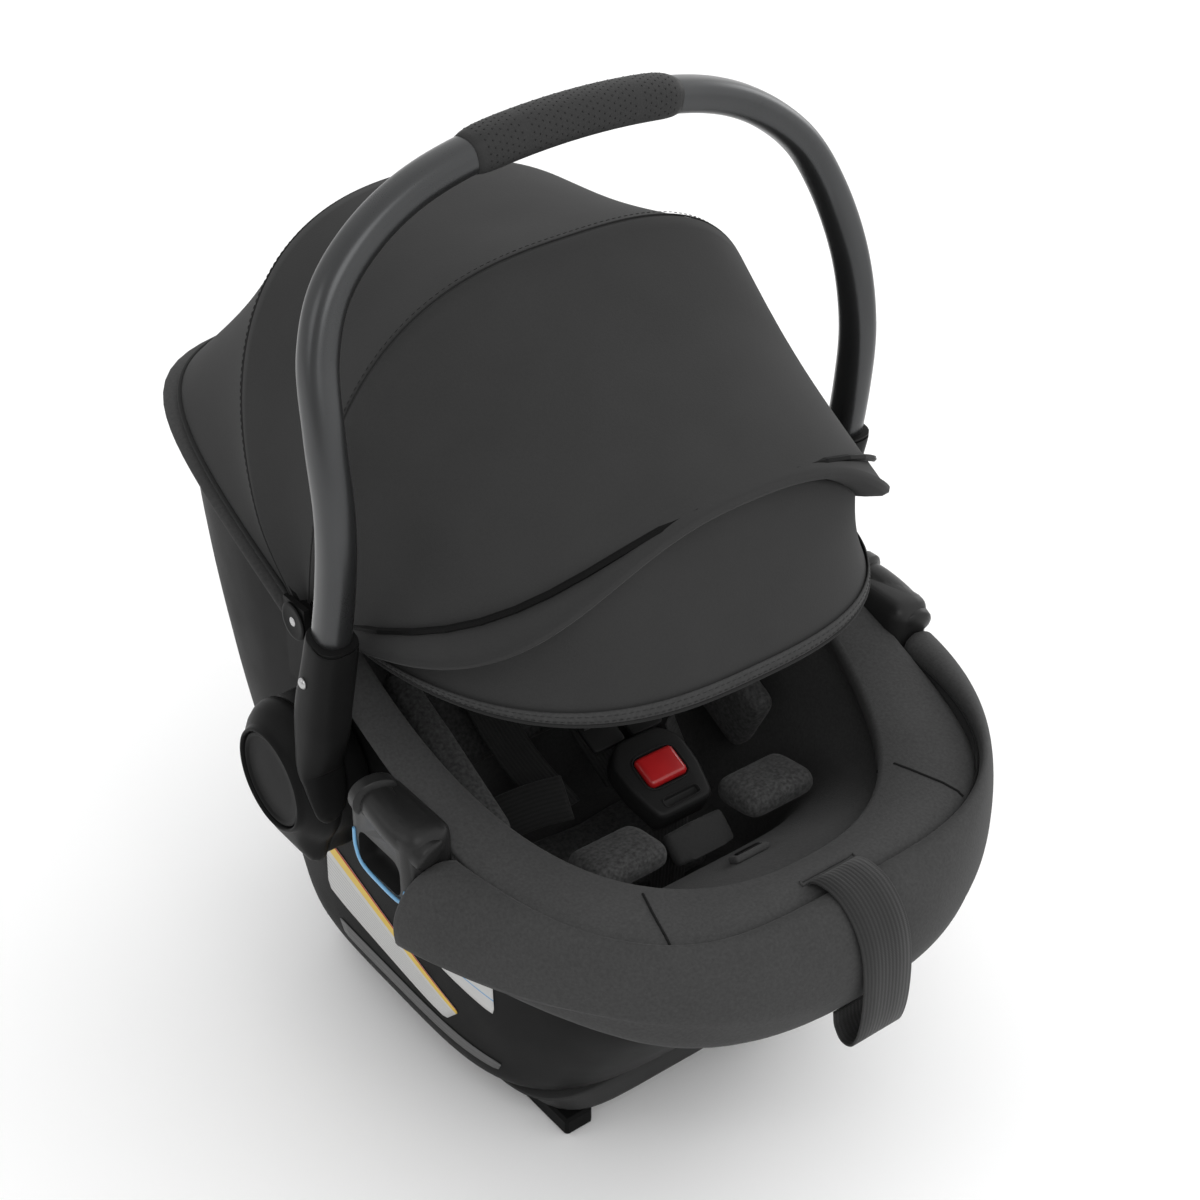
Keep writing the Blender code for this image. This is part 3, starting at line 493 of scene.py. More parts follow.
def end_growth(tree, nodes, shape, finish):
    """Realizes the shape, smooths it, gives it its finish and makes it the tree's result."""
    whole = nodes.add("GeometryNodeRealizeInstances", {}, {0: shape})
    smooth = nodes.add("GeometryNodeSetShadeSmooth", {}, {0: whole})
    done = nodes.add("GeometryNodeSetMaterial", {}, {"Geometry": smooth, "Material": finish})
    result = tree.nodes.new("NodeGroupOutput")
    tree.links.new(done.socket, result.inputs[0])
    return tree


tree, nodes, given = growth("piping", (("Radius", "NodeSocketFloat"), ("Finish", "NodeSocketMaterial")))
line = nodes.add("GeometryNodeMeshToCurve", {}, {"Mesh": given["Geometry"]})
circle = nodes.add("GeometryNodeCurvePrimitiveCircle", {}, {"Resolution": 8, "Radius": given["Radius"]})
tube = nodes.add("GeometryNodeCurveToMesh", {}, {"Curve": line, "Profile Curve": circle, "Fill Caps": True})
PIPING = end_growth(tree, nodes, tube, given["Finish"])

tree, nodes, given = growth("stitches", (("Pitch", "NodeSocketFloat"), ("Length", "NodeSocketFloat"),
                                         ("Radius", "NodeSocketFloat"), ("Finish", "NodeSocketMaterial")))
line = nodes.add("GeometryNodeMeshToCurve", {}, {"Mesh": given["Geometry"]})
spots = nodes.add("GeometryNodeCurveToPoints", {"mode": "LENGTH"}, {"Curve": line, "Length": given["Pitch"]})
turned = Wire(nodes, spots.socket.node.outputs["Rotation"])
bead = nodes.add("GeometryNodeMeshUVSphere", {}, {"Segments": 6, "Rings": 4, "Radius": 1.0})
size = nodes.add("ShaderNodeCombineXYZ", {}, {"X": given["Radius"], "Y": given["Radius"],
                                              "Z": given["Length"] * 0.5})
put = nodes.add("GeometryNodeInstanceOnPoints", {}, {"Points": spots, "Instance": bead, "Rotation": turned,
                                                     "Scale": size})
STITCHES = end_growth(tree, nodes, put, given["Finish"])


def grow(name, tree, lines, body, **values):
    """Runs a tree along the lines and keeps the result as one plain mesh that rides on body."""
    points, edges = [], []
    for path in lines:
        edges += [(len(points) + i, len(points) + i + 1) for i in range(len(path) - 1)]
        points += [tuple(point) for point in path]
    mesh = bpy.data.meshes.new(name)
    mesh.from_pydata(points, edges, [])
    return run_tree(placed(name, mesh), tree, body, **values)


def run_tree(made, tree, body, **values):
    """Runs a tree on made with these inputs and lets the result ride on body."""
    change = made.modifiers.new("growth", "NODES")
    change.node_group = tree
    for socket in tree.interface.items_tree:
        if socket.in_out == "INPUT" and socket.name in values:
            change[socket.identifier] = values[socket.name]
    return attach(applied(made), body)


# thread colour: real thread in the grip's stitches, painted groove shade in the cover seams
THREAD_AND_GROOVE_SHADE = cloth("seam_thread", 0.012, pitch=0.0006)
liner_tree = BVHTree.FromObject(liner, bpy.context.evaluated_depsgraph_get())


def laid_on(points, surface, up):
    """The points moved to the nearest place of a surface, then up from it."""
    made = []
    for point in points:
        place, normal, _, _ = surface.find_nearest(Vector(point))
        made.append(place + normal * up)
    return made


rim_seam = [plan_point(angle, SHELL_HALF + SEAM_OUT - 0.0008, (SHELL_FRONT + SHELL_REAR) / 2,
                       SHELL_FRONT - SEAM_OUT + 0.0008, 4.0)
            + np.array([0, 0, 0.2655 - 0.016 * math.sin(angle) ** 3 - 0.0035])
            for angle in (cover_angle(i, 140) for i in range(141))]
cross_seams = []
for sign in (-1, 1):
    start, stop = Vector((sign * 0.117, AHEAD - 0.256, 0.262)), Vector((sign * 0.098, AHEAD - 0.196, 0.240))
    cross_seams.append(laid_on([start.lerp(stop, i / 24) for i in range(25)], liner_tree, 0.0001))
# painted shade: the seams are real, but these continuous dark tubes paint the shade that lies in their grooves
grow("cover_seams", PIPING, [rim_seam, *cross_seams], "carrier", Radius=0.0009, Finish=THREAD_AND_GROOVE_SHADE)
slot = [Vector((x, AHEAD + y, 0.262)) for x, y in ((-0.021, -0.2505), (0.021, -0.2505), (0.021, -0.2560),
                                                   (-0.021, -0.2560), (-0.021, -0.2505))]
slot = laid_on([a.lerp(b, i / 8) for a, b in zip(slot, slot[1:]) for i in range(8)] + slot[-1:], liner_tree,
               0.0003)
grow("slot_binding", PIPING, [slot], "carrier", Radius=0.0009, Finish=COVER_CLOTH)

# ---------------------------------------------------------------- stroller adapter sockets
# Each socket is one black moulding let into the rim ahead of the hub: a frame round a deep mouth, a round
# bridge over it that a latch grips, and a pale blue line under the mouth that shows where to click in.
HUB_PLASTIC = moulded("hub_plastic", 0.0085, grain=0.0005, gloss=0.42)
SOCKET_PLASTIC = moulded("socket_plastic", 0.0150, grain=0.0005, gloss=0.36, shine=0.2)
BLUE = Finish("mark_blue", Roughness=0.35)
BLUE.colour((0.13, 0.33, 0.55), (0.18, 0.41, 0.64), BLUE.noise(0.004))
SOCKET = np.array([0.1905, AHEAD - 0.090, 0.260])


def rounded_box(name, dims, centre, edge, finish, turn=None, segments=4):
    shape = bmesh.new()
    bmesh.ops.create_cube(shape, size=1.0)
    bmesh.ops.scale(shape, vec=Vector(dims), verts=shape.verts)
    bmesh.ops.bevel(shape, geom=shape.edges, offset=edge, segments=segments, affect="EDGES", profile=0.5)
    if turn:
        bmesh.ops.transform(shape, matrix=turn, verts=shape.verts)
    bmesh.ops.translate(shape, vec=Vector(centre), verts=shape.verts)
    return settle_mesh(name, shape, finish)


def joined(target, tool, operation="DIFFERENCE"):
    """Cuts tool out of target, or fuses it on, for good."""
    change = target.modifiers.new("with_tool", "BOOLEAN")
    change.operation, change.solver, change.object = operation, "EXACT", tool
    applied(target)
    bpy.data.objects.remove(tool)
    return target


def crisp(obj, angle=35):
    """Smooth shading that stays sharp over real edges."""
    obj.data.shade_smooth()
    obj.data.set_sharp_from_angle(angle=math.radians(angle))
    return obj


def oval(half_u, half_v, square=2.6, count=28):
    """An even superellipse of (u, v) pairs."""
    turn = np.linspace(0, 2 * math.pi, 400, endpoint=False)
    c, s = np.cos(turn), np.sin(turn)
    return even(np.column_stack([squarish(c, square) * half_u, squarish(s, square) * half_v]),
                count, closed=True)


def swept(path, side, sections):
    """Rings of a section carried along a path.  sections is one (u, v) list or one for each point."""
    path = np.array(path, float)
    along = np.gradient(path, axis=0)
    along /= np.linalg.norm(along, axis=1)[:, None]
    outward = np.cross(along, np.array(side, float))
    outward /= np.linalg.norm(outward, axis=1)[:, None]
    across = np.cross(outward, along)
    if np.ndim(sections[0]) == 1:
        sections = [sections] * len(path)
    return [point + np.outer(np.array(s)[:, 0], a) + np.outer(np.array(s)[:, 1], o)
            for point, a, o, s in zip(path, across, outward, sections)]


def domed(rings, depth):
    """Rings closed off at both ends by a rounded cap of this depth."""
    def cap(end, other):
        middle = end.mean(0)
        way = (middle - other.mean(0)) / np.linalg.norm(middle - other.mean(0))
        return [middle + (end - middle) * math.cos(a) + way * depth * math.sin(a) for a in np.radians((20, 45,
                                                                                                       68,
                                                                                                       84))]
    return cap(rings[0], rings[1])[::-1] + list(rings) + cap(rings[-1], rings[-2])


for side_name, sign in SIDES:
    flip = np.array([sign, 1, 1])
    body = rounded_box("adapter_frame_" + side_name, (0.0325, 0.071, 0.060), SOCKET * flip, 0.011,
                       SOCKET_PLASTIC)
    mouth = rounded_box("mouth", (0.034, 0.044, 0.026), (SOCKET + np.array([0.0165, 0, -0.008])) * flip,
                        0.0075,
                        SOCKET_PLASTIC)
    joined(body, mouth)
    bridge_path = curve([SOCKET + np.array(p) for p in ((0.004, 0.020, 0.024), (0.006, 0.006, 0.0225),
                                                        (0.006, -0.014, 0.019), (0.002, -0.034, 0.014))],
                                                        6) * flip
    bridge = skin("bridge", domed(swept(bridge_path, (sign, 0, 0), oval(0.0115, 0.0100, 2.2, 24)), 0.004),
                  SOCKET_PLASTIC)
    joined(body, bridge, "UNION")
    collar_path = curve([SOCKET + np.array(p) for p in ((0.004, 0.0245, 0.0250), (0.005, 0.0180, 0.0242))],
                        3) * flip
    collar = skin("collar", domed(swept(collar_path, (sign, 0, 0), oval(0.0150, 0.0135, 2.2, 24)), 0.003),
                  SOCKET_PLASTIC)
    joined(body, collar, "UNION")
    crisp(body)
    mount(body, "carrier", "adapter_socket_" + side_name)
    face = SOCKET[0] + 0.0325 / 2 + 0.0004
    u_line = curve([(face - 0.0004, SOCKET[1] + 0.0265, 0.262), (face, SOCKET[1] + 0.0255, 0.2500),
                    (face, SOCKET[1] + 0.0190, 0.2395), (face, SOCKET[1] + 0.0, 0.2365),
                    (face, SOCKET[1] - 0.0190, 0.2365), (face, SOCKET[1] - 0.0255, 0.2410),
                    (face - 0.0004, SOCKET[1] - 0.0265, 0.2480)], 6) * flip
    mark = grow("adapter_line_" + side_name, PIPING, [u_line], "carrier", Radius=0.0012, Finish=BLUE.material)
    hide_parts("adapter_mark_" + side_name)

# ---------------------------------------------------------------- hubs and release buttons
# Each hub is two moulded halves that meet on a parting line: a plain inner drum, and a flared outer half
# with a raised ring.  The disc inside that ring is the button that frees the handle.


def hub_outline(radius, lobe, count=96):
    """The hub from its side: round above, with a flat lobe below; its corners are rounded by averaging."""
    half = 0.58 * radius
    leave = math.asin(0.58) + math.radians(8)
    turn = np.linspace(-math.pi / 2 + leave, 1.5 * math.pi - leave, 60)
    points = np.column_stack([np.zeros(60), radius * np.cos(turn), radius * np.sin(turn)])
    if lobe > radius:
        foot = [(0, -half * 0.80, -lobe), (0, half * 0.80, -lobe)]
    else:
        foot = [(0, radius * math.cos(a), radius * math.sin(a)) for a in np.radians((240, 255, 270, 285,
                                                                                     300))]
    return averaged(even(np.vstack([points, foot]), count, closed=True)) + AXIS


def stacked(sign, stations):
    """Rings of hub outlines at these places along X, in millimetres: (x, radius, lobe)."""
    made = []
    for x, radius, lobe in stations:
        ring = hub_outline(radius / 1000, lobe / 1000)
        ring[:, 0] = sign * x / 1000
        made.append(ring)
    return made


for side_name, sign in SIDES:
    outer = skin("hub_cap_" + side_name, stacked(sign, (
        (190.9, 46.4, 60.4), (191.3, 47.4, 61.4), (192.2, 48.0, 62.0), (196.0, 48.0, 61.8),
        (200.0, 46.8, 59.5),
        (204.5, 43.6, 52.0), (207.5, 40.2, 44.0), (209.6, 37.4, 37.4), (210.8, 36.2, 36.2),
        (212.6, 35.6, 35.6),
        (213.9, 35.0, 35.0), (214.4, 34.2, 34.2), (214.4, 33.5, 33.5), (213.9, 32.9, 32.9),
        (212.4, 32.6, 32.6),
        (199.4, 32.5, 32.5))), HUB_PLASTIC)
    mount(crisp(outer, 50), "handle", "hub_outer_" + side_name)
    inner = skin("hub_drum_" + side_name, stacked(sign, (
        (167.8, 44.5, 55.5), (168.2, 46.2, 57.2), (169.4, 47.0, 58.0), (178.0, 47.0, 58.0),
        (188.6, 47.0, 58.0),
        (189.8, 46.4, 57.4), (190.1, 45.4, 56.4))), HUB_PLASTIC)
    mount(crisp(inner, 50), "handle", "hub_inner_" + side_name)
    disc = skin("release_disc_" + side_name, stacked(sign, (
        (204.2, 31.0, 31.0), (204.4, 31.9, 31.9), (211.6, 31.9, 31.9), (212.4, 31.5, 31.5),
        (212.6, 30.6, 30.6),
        (212.3, 29.4, 29.4), (211.5, 28.6, 28.6), (211.1, 27.4, 27.4), (211.0, 20.0, 20.0), (211.2, 8.0, 8.0),
        (211.25, 2.0, 2.0))), HUB_PLASTIC)
    mount(crisp(disc, 50), "release_" + side_name, "release_button_" + side_name)

# ---------------------------------------------------------------- handle tube and yokes
# One bent oval aluminium tube with a satin gunmetal anodised finish.  Both ends are riveted into moulded
# yokes, whose tongues lap over the hubs.
HANDLE_TOP = 0.6375
half_path = [(0.1990, -0.022, 0.325), (0.1985, -0.036, 0.368), (0.1965, -0.0455, 0.420),
             (0.1950, -0.0478, 0.465),
             (0.1925, -0.0390, 0.510), (0.1840, -0.0240, 0.552), (0.1640, -0.0140, 0.587),
             (0.1240, -0.0085, 0.616), (0.0720, -0.0070, HANDLE_TOP - 0.0055), (0.0, -0.0070, HANDLE_TOP)]
right_leg = np.array(half_path) + np.array([0, AHEAD, 0])
handle_line = curve(np.vstack([right_leg * [-1, 1, 1], right_leg[-2::-1]]), 12)
ALONG = (0, 1, 0)
TUBE = (0.0118, 0.0105)

gunmetal = Finish("handle_paint", Metallic=0.8, Specular_IOR_Level=0.3)
bloom = gunmetal.noise(0.05, 2.0)
specks = gunmetal.noise(0.0005, 2.0)
gunmetal.colour(grey(0.050, -0.02), grey(0.072, -0.02), bloom * 0.6 + specks * 0.4)
gunmetal.rough(0.30 + (bloom - 0.5) * 0.08 + (specks - 0.5) * 0.12)
gunmetal.relief(specks, 0.00003, 0.5)
tube_piece = skin("handle_bar", domed(swept(handle_line, ALONG, oval(*TUBE)), 0.003), gunmetal.material)
mount(tube_piece, "handle", "handle_tube")

for side_name, sign in SIDES:
    stations = []
    for degrees, inside, half_x, half_r in ((192, -0.001, 0.0035, 0.0012), (187, -0.0008, 0.0075, 0.0022),
                                            (180, -0.0006, 0.0105, 0.0032), (168, -0.0006, 0.0128, 0.0044),
                                            (154, 0.000, 0.0140, 0.0066), (141, 0.003, 0.0146, 0.0105)):
        angle = math.radians(degrees)
        reach = 0.0480 + inside
        stations.append(((sign * 0.1985, AXIS[1] + reach * math.cos(angle),
                          AXIS[2] + reach * math.sin(angle)),
                         half_x, half_r))
    for (y, z), half_x, half_r in (((-0.0210, 0.308), 0.0148, 0.0165), ((-0.0245, 0.326), 0.0148, 0.0170),
                                   ((-0.0300, 0.344), 0.0147, 0.0160), ((-0.0360, 0.364), 0.0145, 0.0150),
                                   ((-0.0402, 0.3795), 0.0142, 0.0144), ((-0.0408, 0.3815), 0.0134, 0.0136),
                                   ((-0.0400, 0.3790), 0.0112, 0.0124)):
        stations.append(((sign * 0.1985, AHEAD + y, z), half_x, half_r))
    spine = curve([place for place, _, _ in stations], 4)
    halves = curve([(a, b) for _, a, b in stations], 4)
    rings = swept(spine, (1, 0, 0), [oval(a, b, 2.8, 28) for a, b in halves])
    boot = skin("yoke_boot_" + side_name, rings, HUB_PLASTIC)
    mount(crisp(boot, 60), "handle", "yoke_" + side_name)

# ---------------------------------------------------------------- rivets
# Domed zinc-plated rivets: one holds each tube end in its yoke, and one is the pin on which the canopy
# bows turn, set in a round moulded knob on its bracket.


def facing_points(nodes, given):
    """The loose points of a mesh and the rotation that turns each one the way it faces."""
    facing = nodes.add("GeometryNodeInputNamedAttribute", {"data_type": "FLOAT_VECTOR"}, {"Name": "facing"})
    turned = nodes.add("FunctionNodeAlignRotationToVector", {"axis": "Z"}, {"Vector": facing})
    return nodes.add("GeometryNodeMeshToPoints", {}, {"Mesh": given["Geometry"]}), turned


tree, nodes, given = growth("rivets", (("Radius", "NodeSocketFloat"), ("Height", "NodeSocketFloat"),
                                       ("Finish", "NodeSocketMaterial")))
spots, turned = facing_points(nodes, given)
bead = nodes.add("GeometryNodeMeshUVSphere", {}, {"Segments": 20, "Rings": 12, "Radius": 1.0})
size = nodes.add("ShaderNodeCombineXYZ", {}, {"X": given["Radius"], "Y": given["Radius"],
                                              "Z": given["Height"]})
put = nodes.add("GeometryNodeInstanceOnPoints", {}, {"Points": spots, "Instance": bead, "Rotation": turned,
                                                     "Scale": size})
RIVETS = end_growth(tree, nodes, put, given["Finish"])


def dotted(name, tree, places, facings, body, **values):
    """Runs a tree on loose points that each face a way of their own."""
    mesh = bpy.data.meshes.new(name)
    mesh.from_pydata([tuple(p) for p in places], [], [])
    mesh.attributes.new("facing", "FLOAT_VECTOR", "POINT").data.foreach_set(
        "vector", np.array(facings, np.float32).ravel())
    return run_tree(placed(name, mesh), tree, body, **values)


tube_rivets = dotted("yoke_rivets", RIVETS, [(s * 0.2134, AHEAD - 0.0285, 0.3500) for s in (-1, 1)],
                     [(s, 0, 0) for s in (-1, 1)], "handle", Radius=0.0036, Height=0.0022, Finish=STEEL)
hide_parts("yoke_rivet_left", "yoke_rivet_right")

dress(HUB_PLASTIC, "canopy_bracket_left", "canopy_bracket_right", "release_lever")

# ---------------------------------------------------------------- grip
# A leatherette sleeve is laced tight round the middle of the tube, with rows of punched holes over its
# top and a closing seam underneath.
GRIP_HALF = 0.072
leather = Finish("grip_leather", Specular_IOR_Level=0.2)
pores = leather.nodes.add("ShaderNodeTexVoronoi", {}, {"Vector": leather.place, "Scale": 1 / 0.0013})
wrinkle = leather.noise(0.006, 4.0)
leather.colour(grey(0.0165), grey(0.0300), wrinkle * 0.7 + pores * 0.3)
leather.rough(0.50 + wrinkle * 0.20)
leather.relief(pores * 0.6 + wrinkle * 0.6, 0.00025, 0.7)
# painted shade: each punched hole is real, drawn as a near-black dish whose colour stands in for the shade
# inside it
HOLE_SHADE = Finish("punched_hole_shade", Roughness=0.9)
HOLE_SHADE.colour(grey(0.003), grey(0.005), HOLE_SHADE.noise(0.0005))
on_grip = np.array([p for p in handle_line if abs(p[0]) <= GRIP_HALF + 0.001])
grip_line = even(on_grip, 40)
swell = [0.0004 + 0.0020 * (1 - abs(2 * i / 39 - 1) ** 14) for i in range(40)]
sleeve_rings = swept(grip_line, ALONG, [oval(TUBE[0] + s, TUBE[1] + s, 2.5, 40) for s in swell])
sleeve = skin("grip_sleeve", sleeve_rings, leather.material)
mount(sleeve, "handle", "grip")

tree, nodes, given = growth("punched_holes", (("Radius", "NodeSocketFloat"),
                                              ("Finish", "NodeSocketMaterial")))
spots, turned = facing_points(nodes, given)
dish = nodes.add("GeometryNodeMeshCone", {}, {"Vertices": 8, "Radius Top": given["Radius"],
                                              "Radius Bottom": given["Radius"] * 0.4, "Depth": 0.0003})
put = nodes.add("GeometryNodeInstanceOnPoints", {}, {"Points": spots, "Instance": dish, "Rotation": turned})
HOLES = end_growth(tree, nodes, put, given["Finish"])
places, facings = [], []
for row in range(1, 35):
    share = 0.055 + 0.89 * (row - 1) / 33
    ring = sleeve_rings[int(round(share * 39))]
    middle, turn = ring.mean(0), np.roll(ring, row % 2, 0)
    for k in range(0, 40, 2):
        point = turn[k]
        out = (point - middle) / np.linalg.norm(point - middle)
        if out[2] > -0.55:
            places.append(point - out * 0.00022)
            facings.append(out)
# near-black dishes: painted shade in the punched holes
dotted("grip_holes", HOLES, places, facings, "handle", Radius=0.00062, Finish=HOLE_SHADE.material)
under = [ring[int(np.argmin(ring[:, 2]))] for ring in sleeve_rings[1:-1]]
under = curve(under[::4] + [under[-1]], 4)
grow("grip_stitches", STITCHES, [[p + np.array([0, s, -0.0001]) for p in under] for s in (-0.0016, 0.0016)],
     "handle",
     Pitch=0.0042, Length=0.0030, Radius=0.00042, Finish=THREAD_AND_GROOVE_SHADE)

# ---------------------------------------------------------------- canopy
# Four panels of stretch-woven polyester are sewn over four sprung wire bows that turn on one pin at each
# side.  The rear panel is fixed along the shell's rim, the front one ends in a stiffened peak, and a shade
# panel pulls out from under that peak.
PIN = np.array([0.0, AHEAD + PIN_BACK, 0.347])
BOWS = {  # angle up from the foot end, half width at the pin and over the seat, reach, squareness, side droop
    "rear": (math.radians(125.0), 0.1745, 0.1800, 0.235, 2.40, 0.0),
    "middle": (math.radians(80.0), 0.1690, 0.1690, 0.215, 2.80, 0.0),
    "visor": (math.radians(31.5), 0.1635, 0.1755, 0.236, 2.60, math.radians(19.0)),
    "shade": (math.radians(1.5), 0.1580, 0.1640, 0.214, 2.80, 0.0)}
CANOPY_CLOTH = cloth("canopy_fabric", 0.0340, pitch=0.0007, melange=0.10, depth=0.00010, sheen=0.04)
# binding colour: real dark tape on the hems, painted crease shade on the bow seams
BINDING_AND_SEAM_SHADE = cloth("binding", 0.0200, pitch=0.0007, melange=0.10, depth=0.00015)
dress(SHELL_PLASTIC, *["bow_" + name for name in BOWS])


def bow_line(name, grow=0.0, ease=0.0, count=121, start=0.0):
    """The line of a bow from its right pin over the seat to its left pin, grown outwards; ease turns it up."""
    angle, pin_half, half, reach, square, droop = BOWS[name]
    t = np.linspace(start, math.pi - start, 800)
    c, s = np.cos(t), np.sin(t)
    r = abs(s) ** (2 / square) * (reach + grow)
    width = pin_half + (half - pin_half) * climb(r / 0.070) + grow
    x = squarish(c, square) * width
    hang = angle + ease - droop * (1 - abs(s) ** 3)
    return even(np.column_stack([x, PIN[1] - r * np.cos(hang), PIN[2] + r * np.sin(hang)]), count)


def hem_line(grow=0.0, lift=0.0, count=121):
    """The canopy's fixed edge, just outside the shell's rim from pin to pin round the head end."""
    t = np.linspace(0, math.pi, 800)
    c, s = np.cos(t), np.sin(t)
    y_share = abs(s) ** (2 / 3.2)
    x = squarish(c, 3.2) * (0.1735 + grow)
    y = PIN_BACK + (SHELL_REAR + 0.0085 + grow - PIN_BACK) * y_share
    rim = RIM_FRONT_Z + (RIM_REAR_Z - RIM_FRONT_Z) * climb((y - SHELL_FRONT) / (SHELL_REAR - SHELL_FRONT))
    return even(np.column_stack([x, AHEAD + y, rim + 0.006 + 0.010 * (1 - y_share) + lift]), count)


def stretched(name, low, high, sag, rows=26, extra=()):
    """A cloth panel between two edges that dips inwards between them, then extra rows; 0.8 mm thick."""
    made = []
    for share in np.linspace(0, 1, rows):
        row = low + (high - low) * share
        inward = PIN + np.array([0, 0, 0.02]) - row
        inward[:, 0] *= 0.6
        inward /= np.linalg.norm(inward, axis=1)[:, None]
        made.append(row + inward * sag * math.sin(math.pi * share))
    made += list(extra)
    grid = np.array(made)
    sheet = thickened(skin(name, grid, CANOPY_CLOTH, ring=False), 0.0008, 0.0)
    wide = np.linalg.norm(np.diff(grid, axis=1), axis=2).sum(1).max()
    long = np.linalg.norm(np.diff(grid, axis=0), axis=2).sum(0).max()
    edge_a, edge_b = np.diff(grid, axis=0)[:, :-1], np.diff(grid, axis=1)[:-1]
    area = np.linalg.norm(np.cross(edge_a, edge_b), axis=2).sum()
    return sheet, (float(wide), float(long)), float(area)


def folds(obj, low_angle, high_angle):
    """Bakes obj's placement into its mesh."""
    middle, half = (low_angle + high_angle) / 2, (high_angle - low_angle) / 2
    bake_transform(obj)


OUT = 0.0026                                            # the cloth lies this far outside a bow's centre line
rear_edge = bow_line("rear", OUT)
middle_edge = bow_line("middle", OUT)
peak_edge = bow_line("visor", OUT)
turn_under = [bow_line("visor", OUT + 0.0028, -0.010), bow_line("visor", OUT + 0.0020, -0.022),
              bow_line("visor", OUT - 0.0015, -0.030), bow_line("visor", -0.0080, -0.024),
              bow_line("visor", -0.0160, -0.012)]
panels = (
    ("rear_panel_cloth", "canopy_rear_panel", hem_line(0.0008), rear_edge, 0.004, (), "carrier",
     "canopy_rear",
     ["shell", "bow_rear"]),
    ("middle_panel_cloth", "canopy_middle_panel", rear_edge, middle_edge, 0.004, (), "canopy_rear",
     "canopy_middle",
     ["bow_rear", "bow_middle"]),
    ("front_panel_cloth", "canopy_front_panel", middle_edge, peak_edge, 0.004, turn_under, "canopy_middle",
     "canopy_visor", ["bow_middle", "bow_visor"]),
    ("shade_panel_cloth", "canopy_shade_panel", bow_line("visor", -0.0145, -0.018), bow_line("shade", OUT),
     0.003,
     [bow_line("shade", OUT - 0.0010, -0.012), bow_line("shade", OUT - 0.0040, -0.014)], "canopy_visor",
     "canopy_shade", ["bow_visor", "bow_shade"]))
angles = {"carrier": math.radians(160), "canopy_rear": BOWS["rear"][0], "canopy_middle": BOWS["middle"][0],
          "canopy_visor": BOWS["visor"][0], "canopy_shade": BOWS["shade"][0]}
for name, node, low, high, sag, extra, first, second, held_by in panels:
    piece, flat, area = stretched(name, low, high, sag, extra=extra)
    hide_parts(node)
    folds(piece, angles[first], angles[second])

# ---------------------------------------------------------------- canopy bindings
# The rear hem and the shade's lower edge are bound with narrow tape; a flat-felled seam lies over each bow as a
# dark line whose darkness is painted shade of its crease, and two rows of stitching hold the shade's wire in its
# hem.
grow("rear_hem_binding", PIPING, [hem_line(0.0016, -0.0006)], "carrier", Radius=0.0019, Finish=BINDING_AND_SEAM_SHADE)
for name, body, up in (("rear", "canopy_rear", 0.0003), ("middle", "canopy_middle", 0.0003)):
    # painted shade: the bow seam is real, its dark line paints the shade in its crease
    grow(name + "_bow_seam", PIPING, [bow_line(name, OUT + up, 0.010)], body, Radius=0.0006, Finish=BINDING_AND_SEAM_SHADE)
    grow(name + "_bow_stitches", STITCHES, [bow_line(name, OUT + 0.0004, 0.024)], body, Pitch=0.0045,
         Length=0.0032, Radius=0.00030, Finish=BINDING_AND_SEAM_SHADE)
shade_tape = np.array([bow_line("shade", OUT + up, turn) for up, turn in (
    (0.0006, 0.030), (0.0013, 0.026), (0.0016, 0.010), (0.0016, -0.006), (0.0010, -0.014),
    (-0.0006, -0.018))])
tape = thickened(skin("shade_hem_tape", shade_tape, COVER_CLOTH, ring=False), 0.0009, -1.0)
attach(tape, "canopy_shade")
grow("shade_hem_edge", PIPING, [bow_line("shade", OUT + 0.0009, -0.016)], "canopy_shade", Radius=0.0014,
     Finish=BINDING_AND_SEAM_SHADE)
grow("shade_hem_stitches", STITCHES, [bow_line("shade", OUT + 0.0016, 0.016),
                                      bow_line("shade", OUT + 0.0020, -0.002)],
     "canopy_shade", Pitch=0.0042, Length=0.0030, Radius=0.00032, Finish=CANOPY_CLOTH)

# ---------------------------------------------------------------- canopy knobs
# A round moulded knob covers each pin that the bows turn on, with a rivet in its middle.
for side_name, sign in SIDES:
    rows = []
    for x, radius in ((181.7, 11.6), (182.2, 12.2), (182.9, 12.4), (183.3, 11.8), (183.4, 10.2),
                      (183.15, 8.8),
                      (183.15, 1.0)):
        turn = np.linspace(0, 2 * math.pi, 40, endpoint=False)
        rows.append(np.column_stack([np.full(40, sign * x / 1000), PIN[1] + radius / 1000 * np.cos(turn),
                                     PIN[2] + radius / 1000 * np.sin(turn)]))
    mount(crisp(skin("canopy_knob_" + side_name, rows, HUB_PLASTIC)), "carrier")
dotted("knob_rivets", RIVETS, [(s * 0.18305, PIN[1], PIN[2]) for s in (-1, 1)],
               [(s, 0, 0) for s in (-1, 1)],
               "carrier", Radius=0.0032, Height=0.0009, Finish=STEEL)

# ---------------------------------------------------------------- body insert pads
# Loose pads of heathered jersey over soft foam cradle the baby: back, head, two side bolsters, two knee
# pads, a seat pad and a plain crotch pad.  Each is blown up from its solid as a real filling would.
HEATHER = cloth("insert_fabric", 0.0560, pitch=0.0011, melange=0.95, depth=0.00030, sheen=0.10)
PLAIN = cloth("crotch_fabric", 0.0330, melange=0.15)


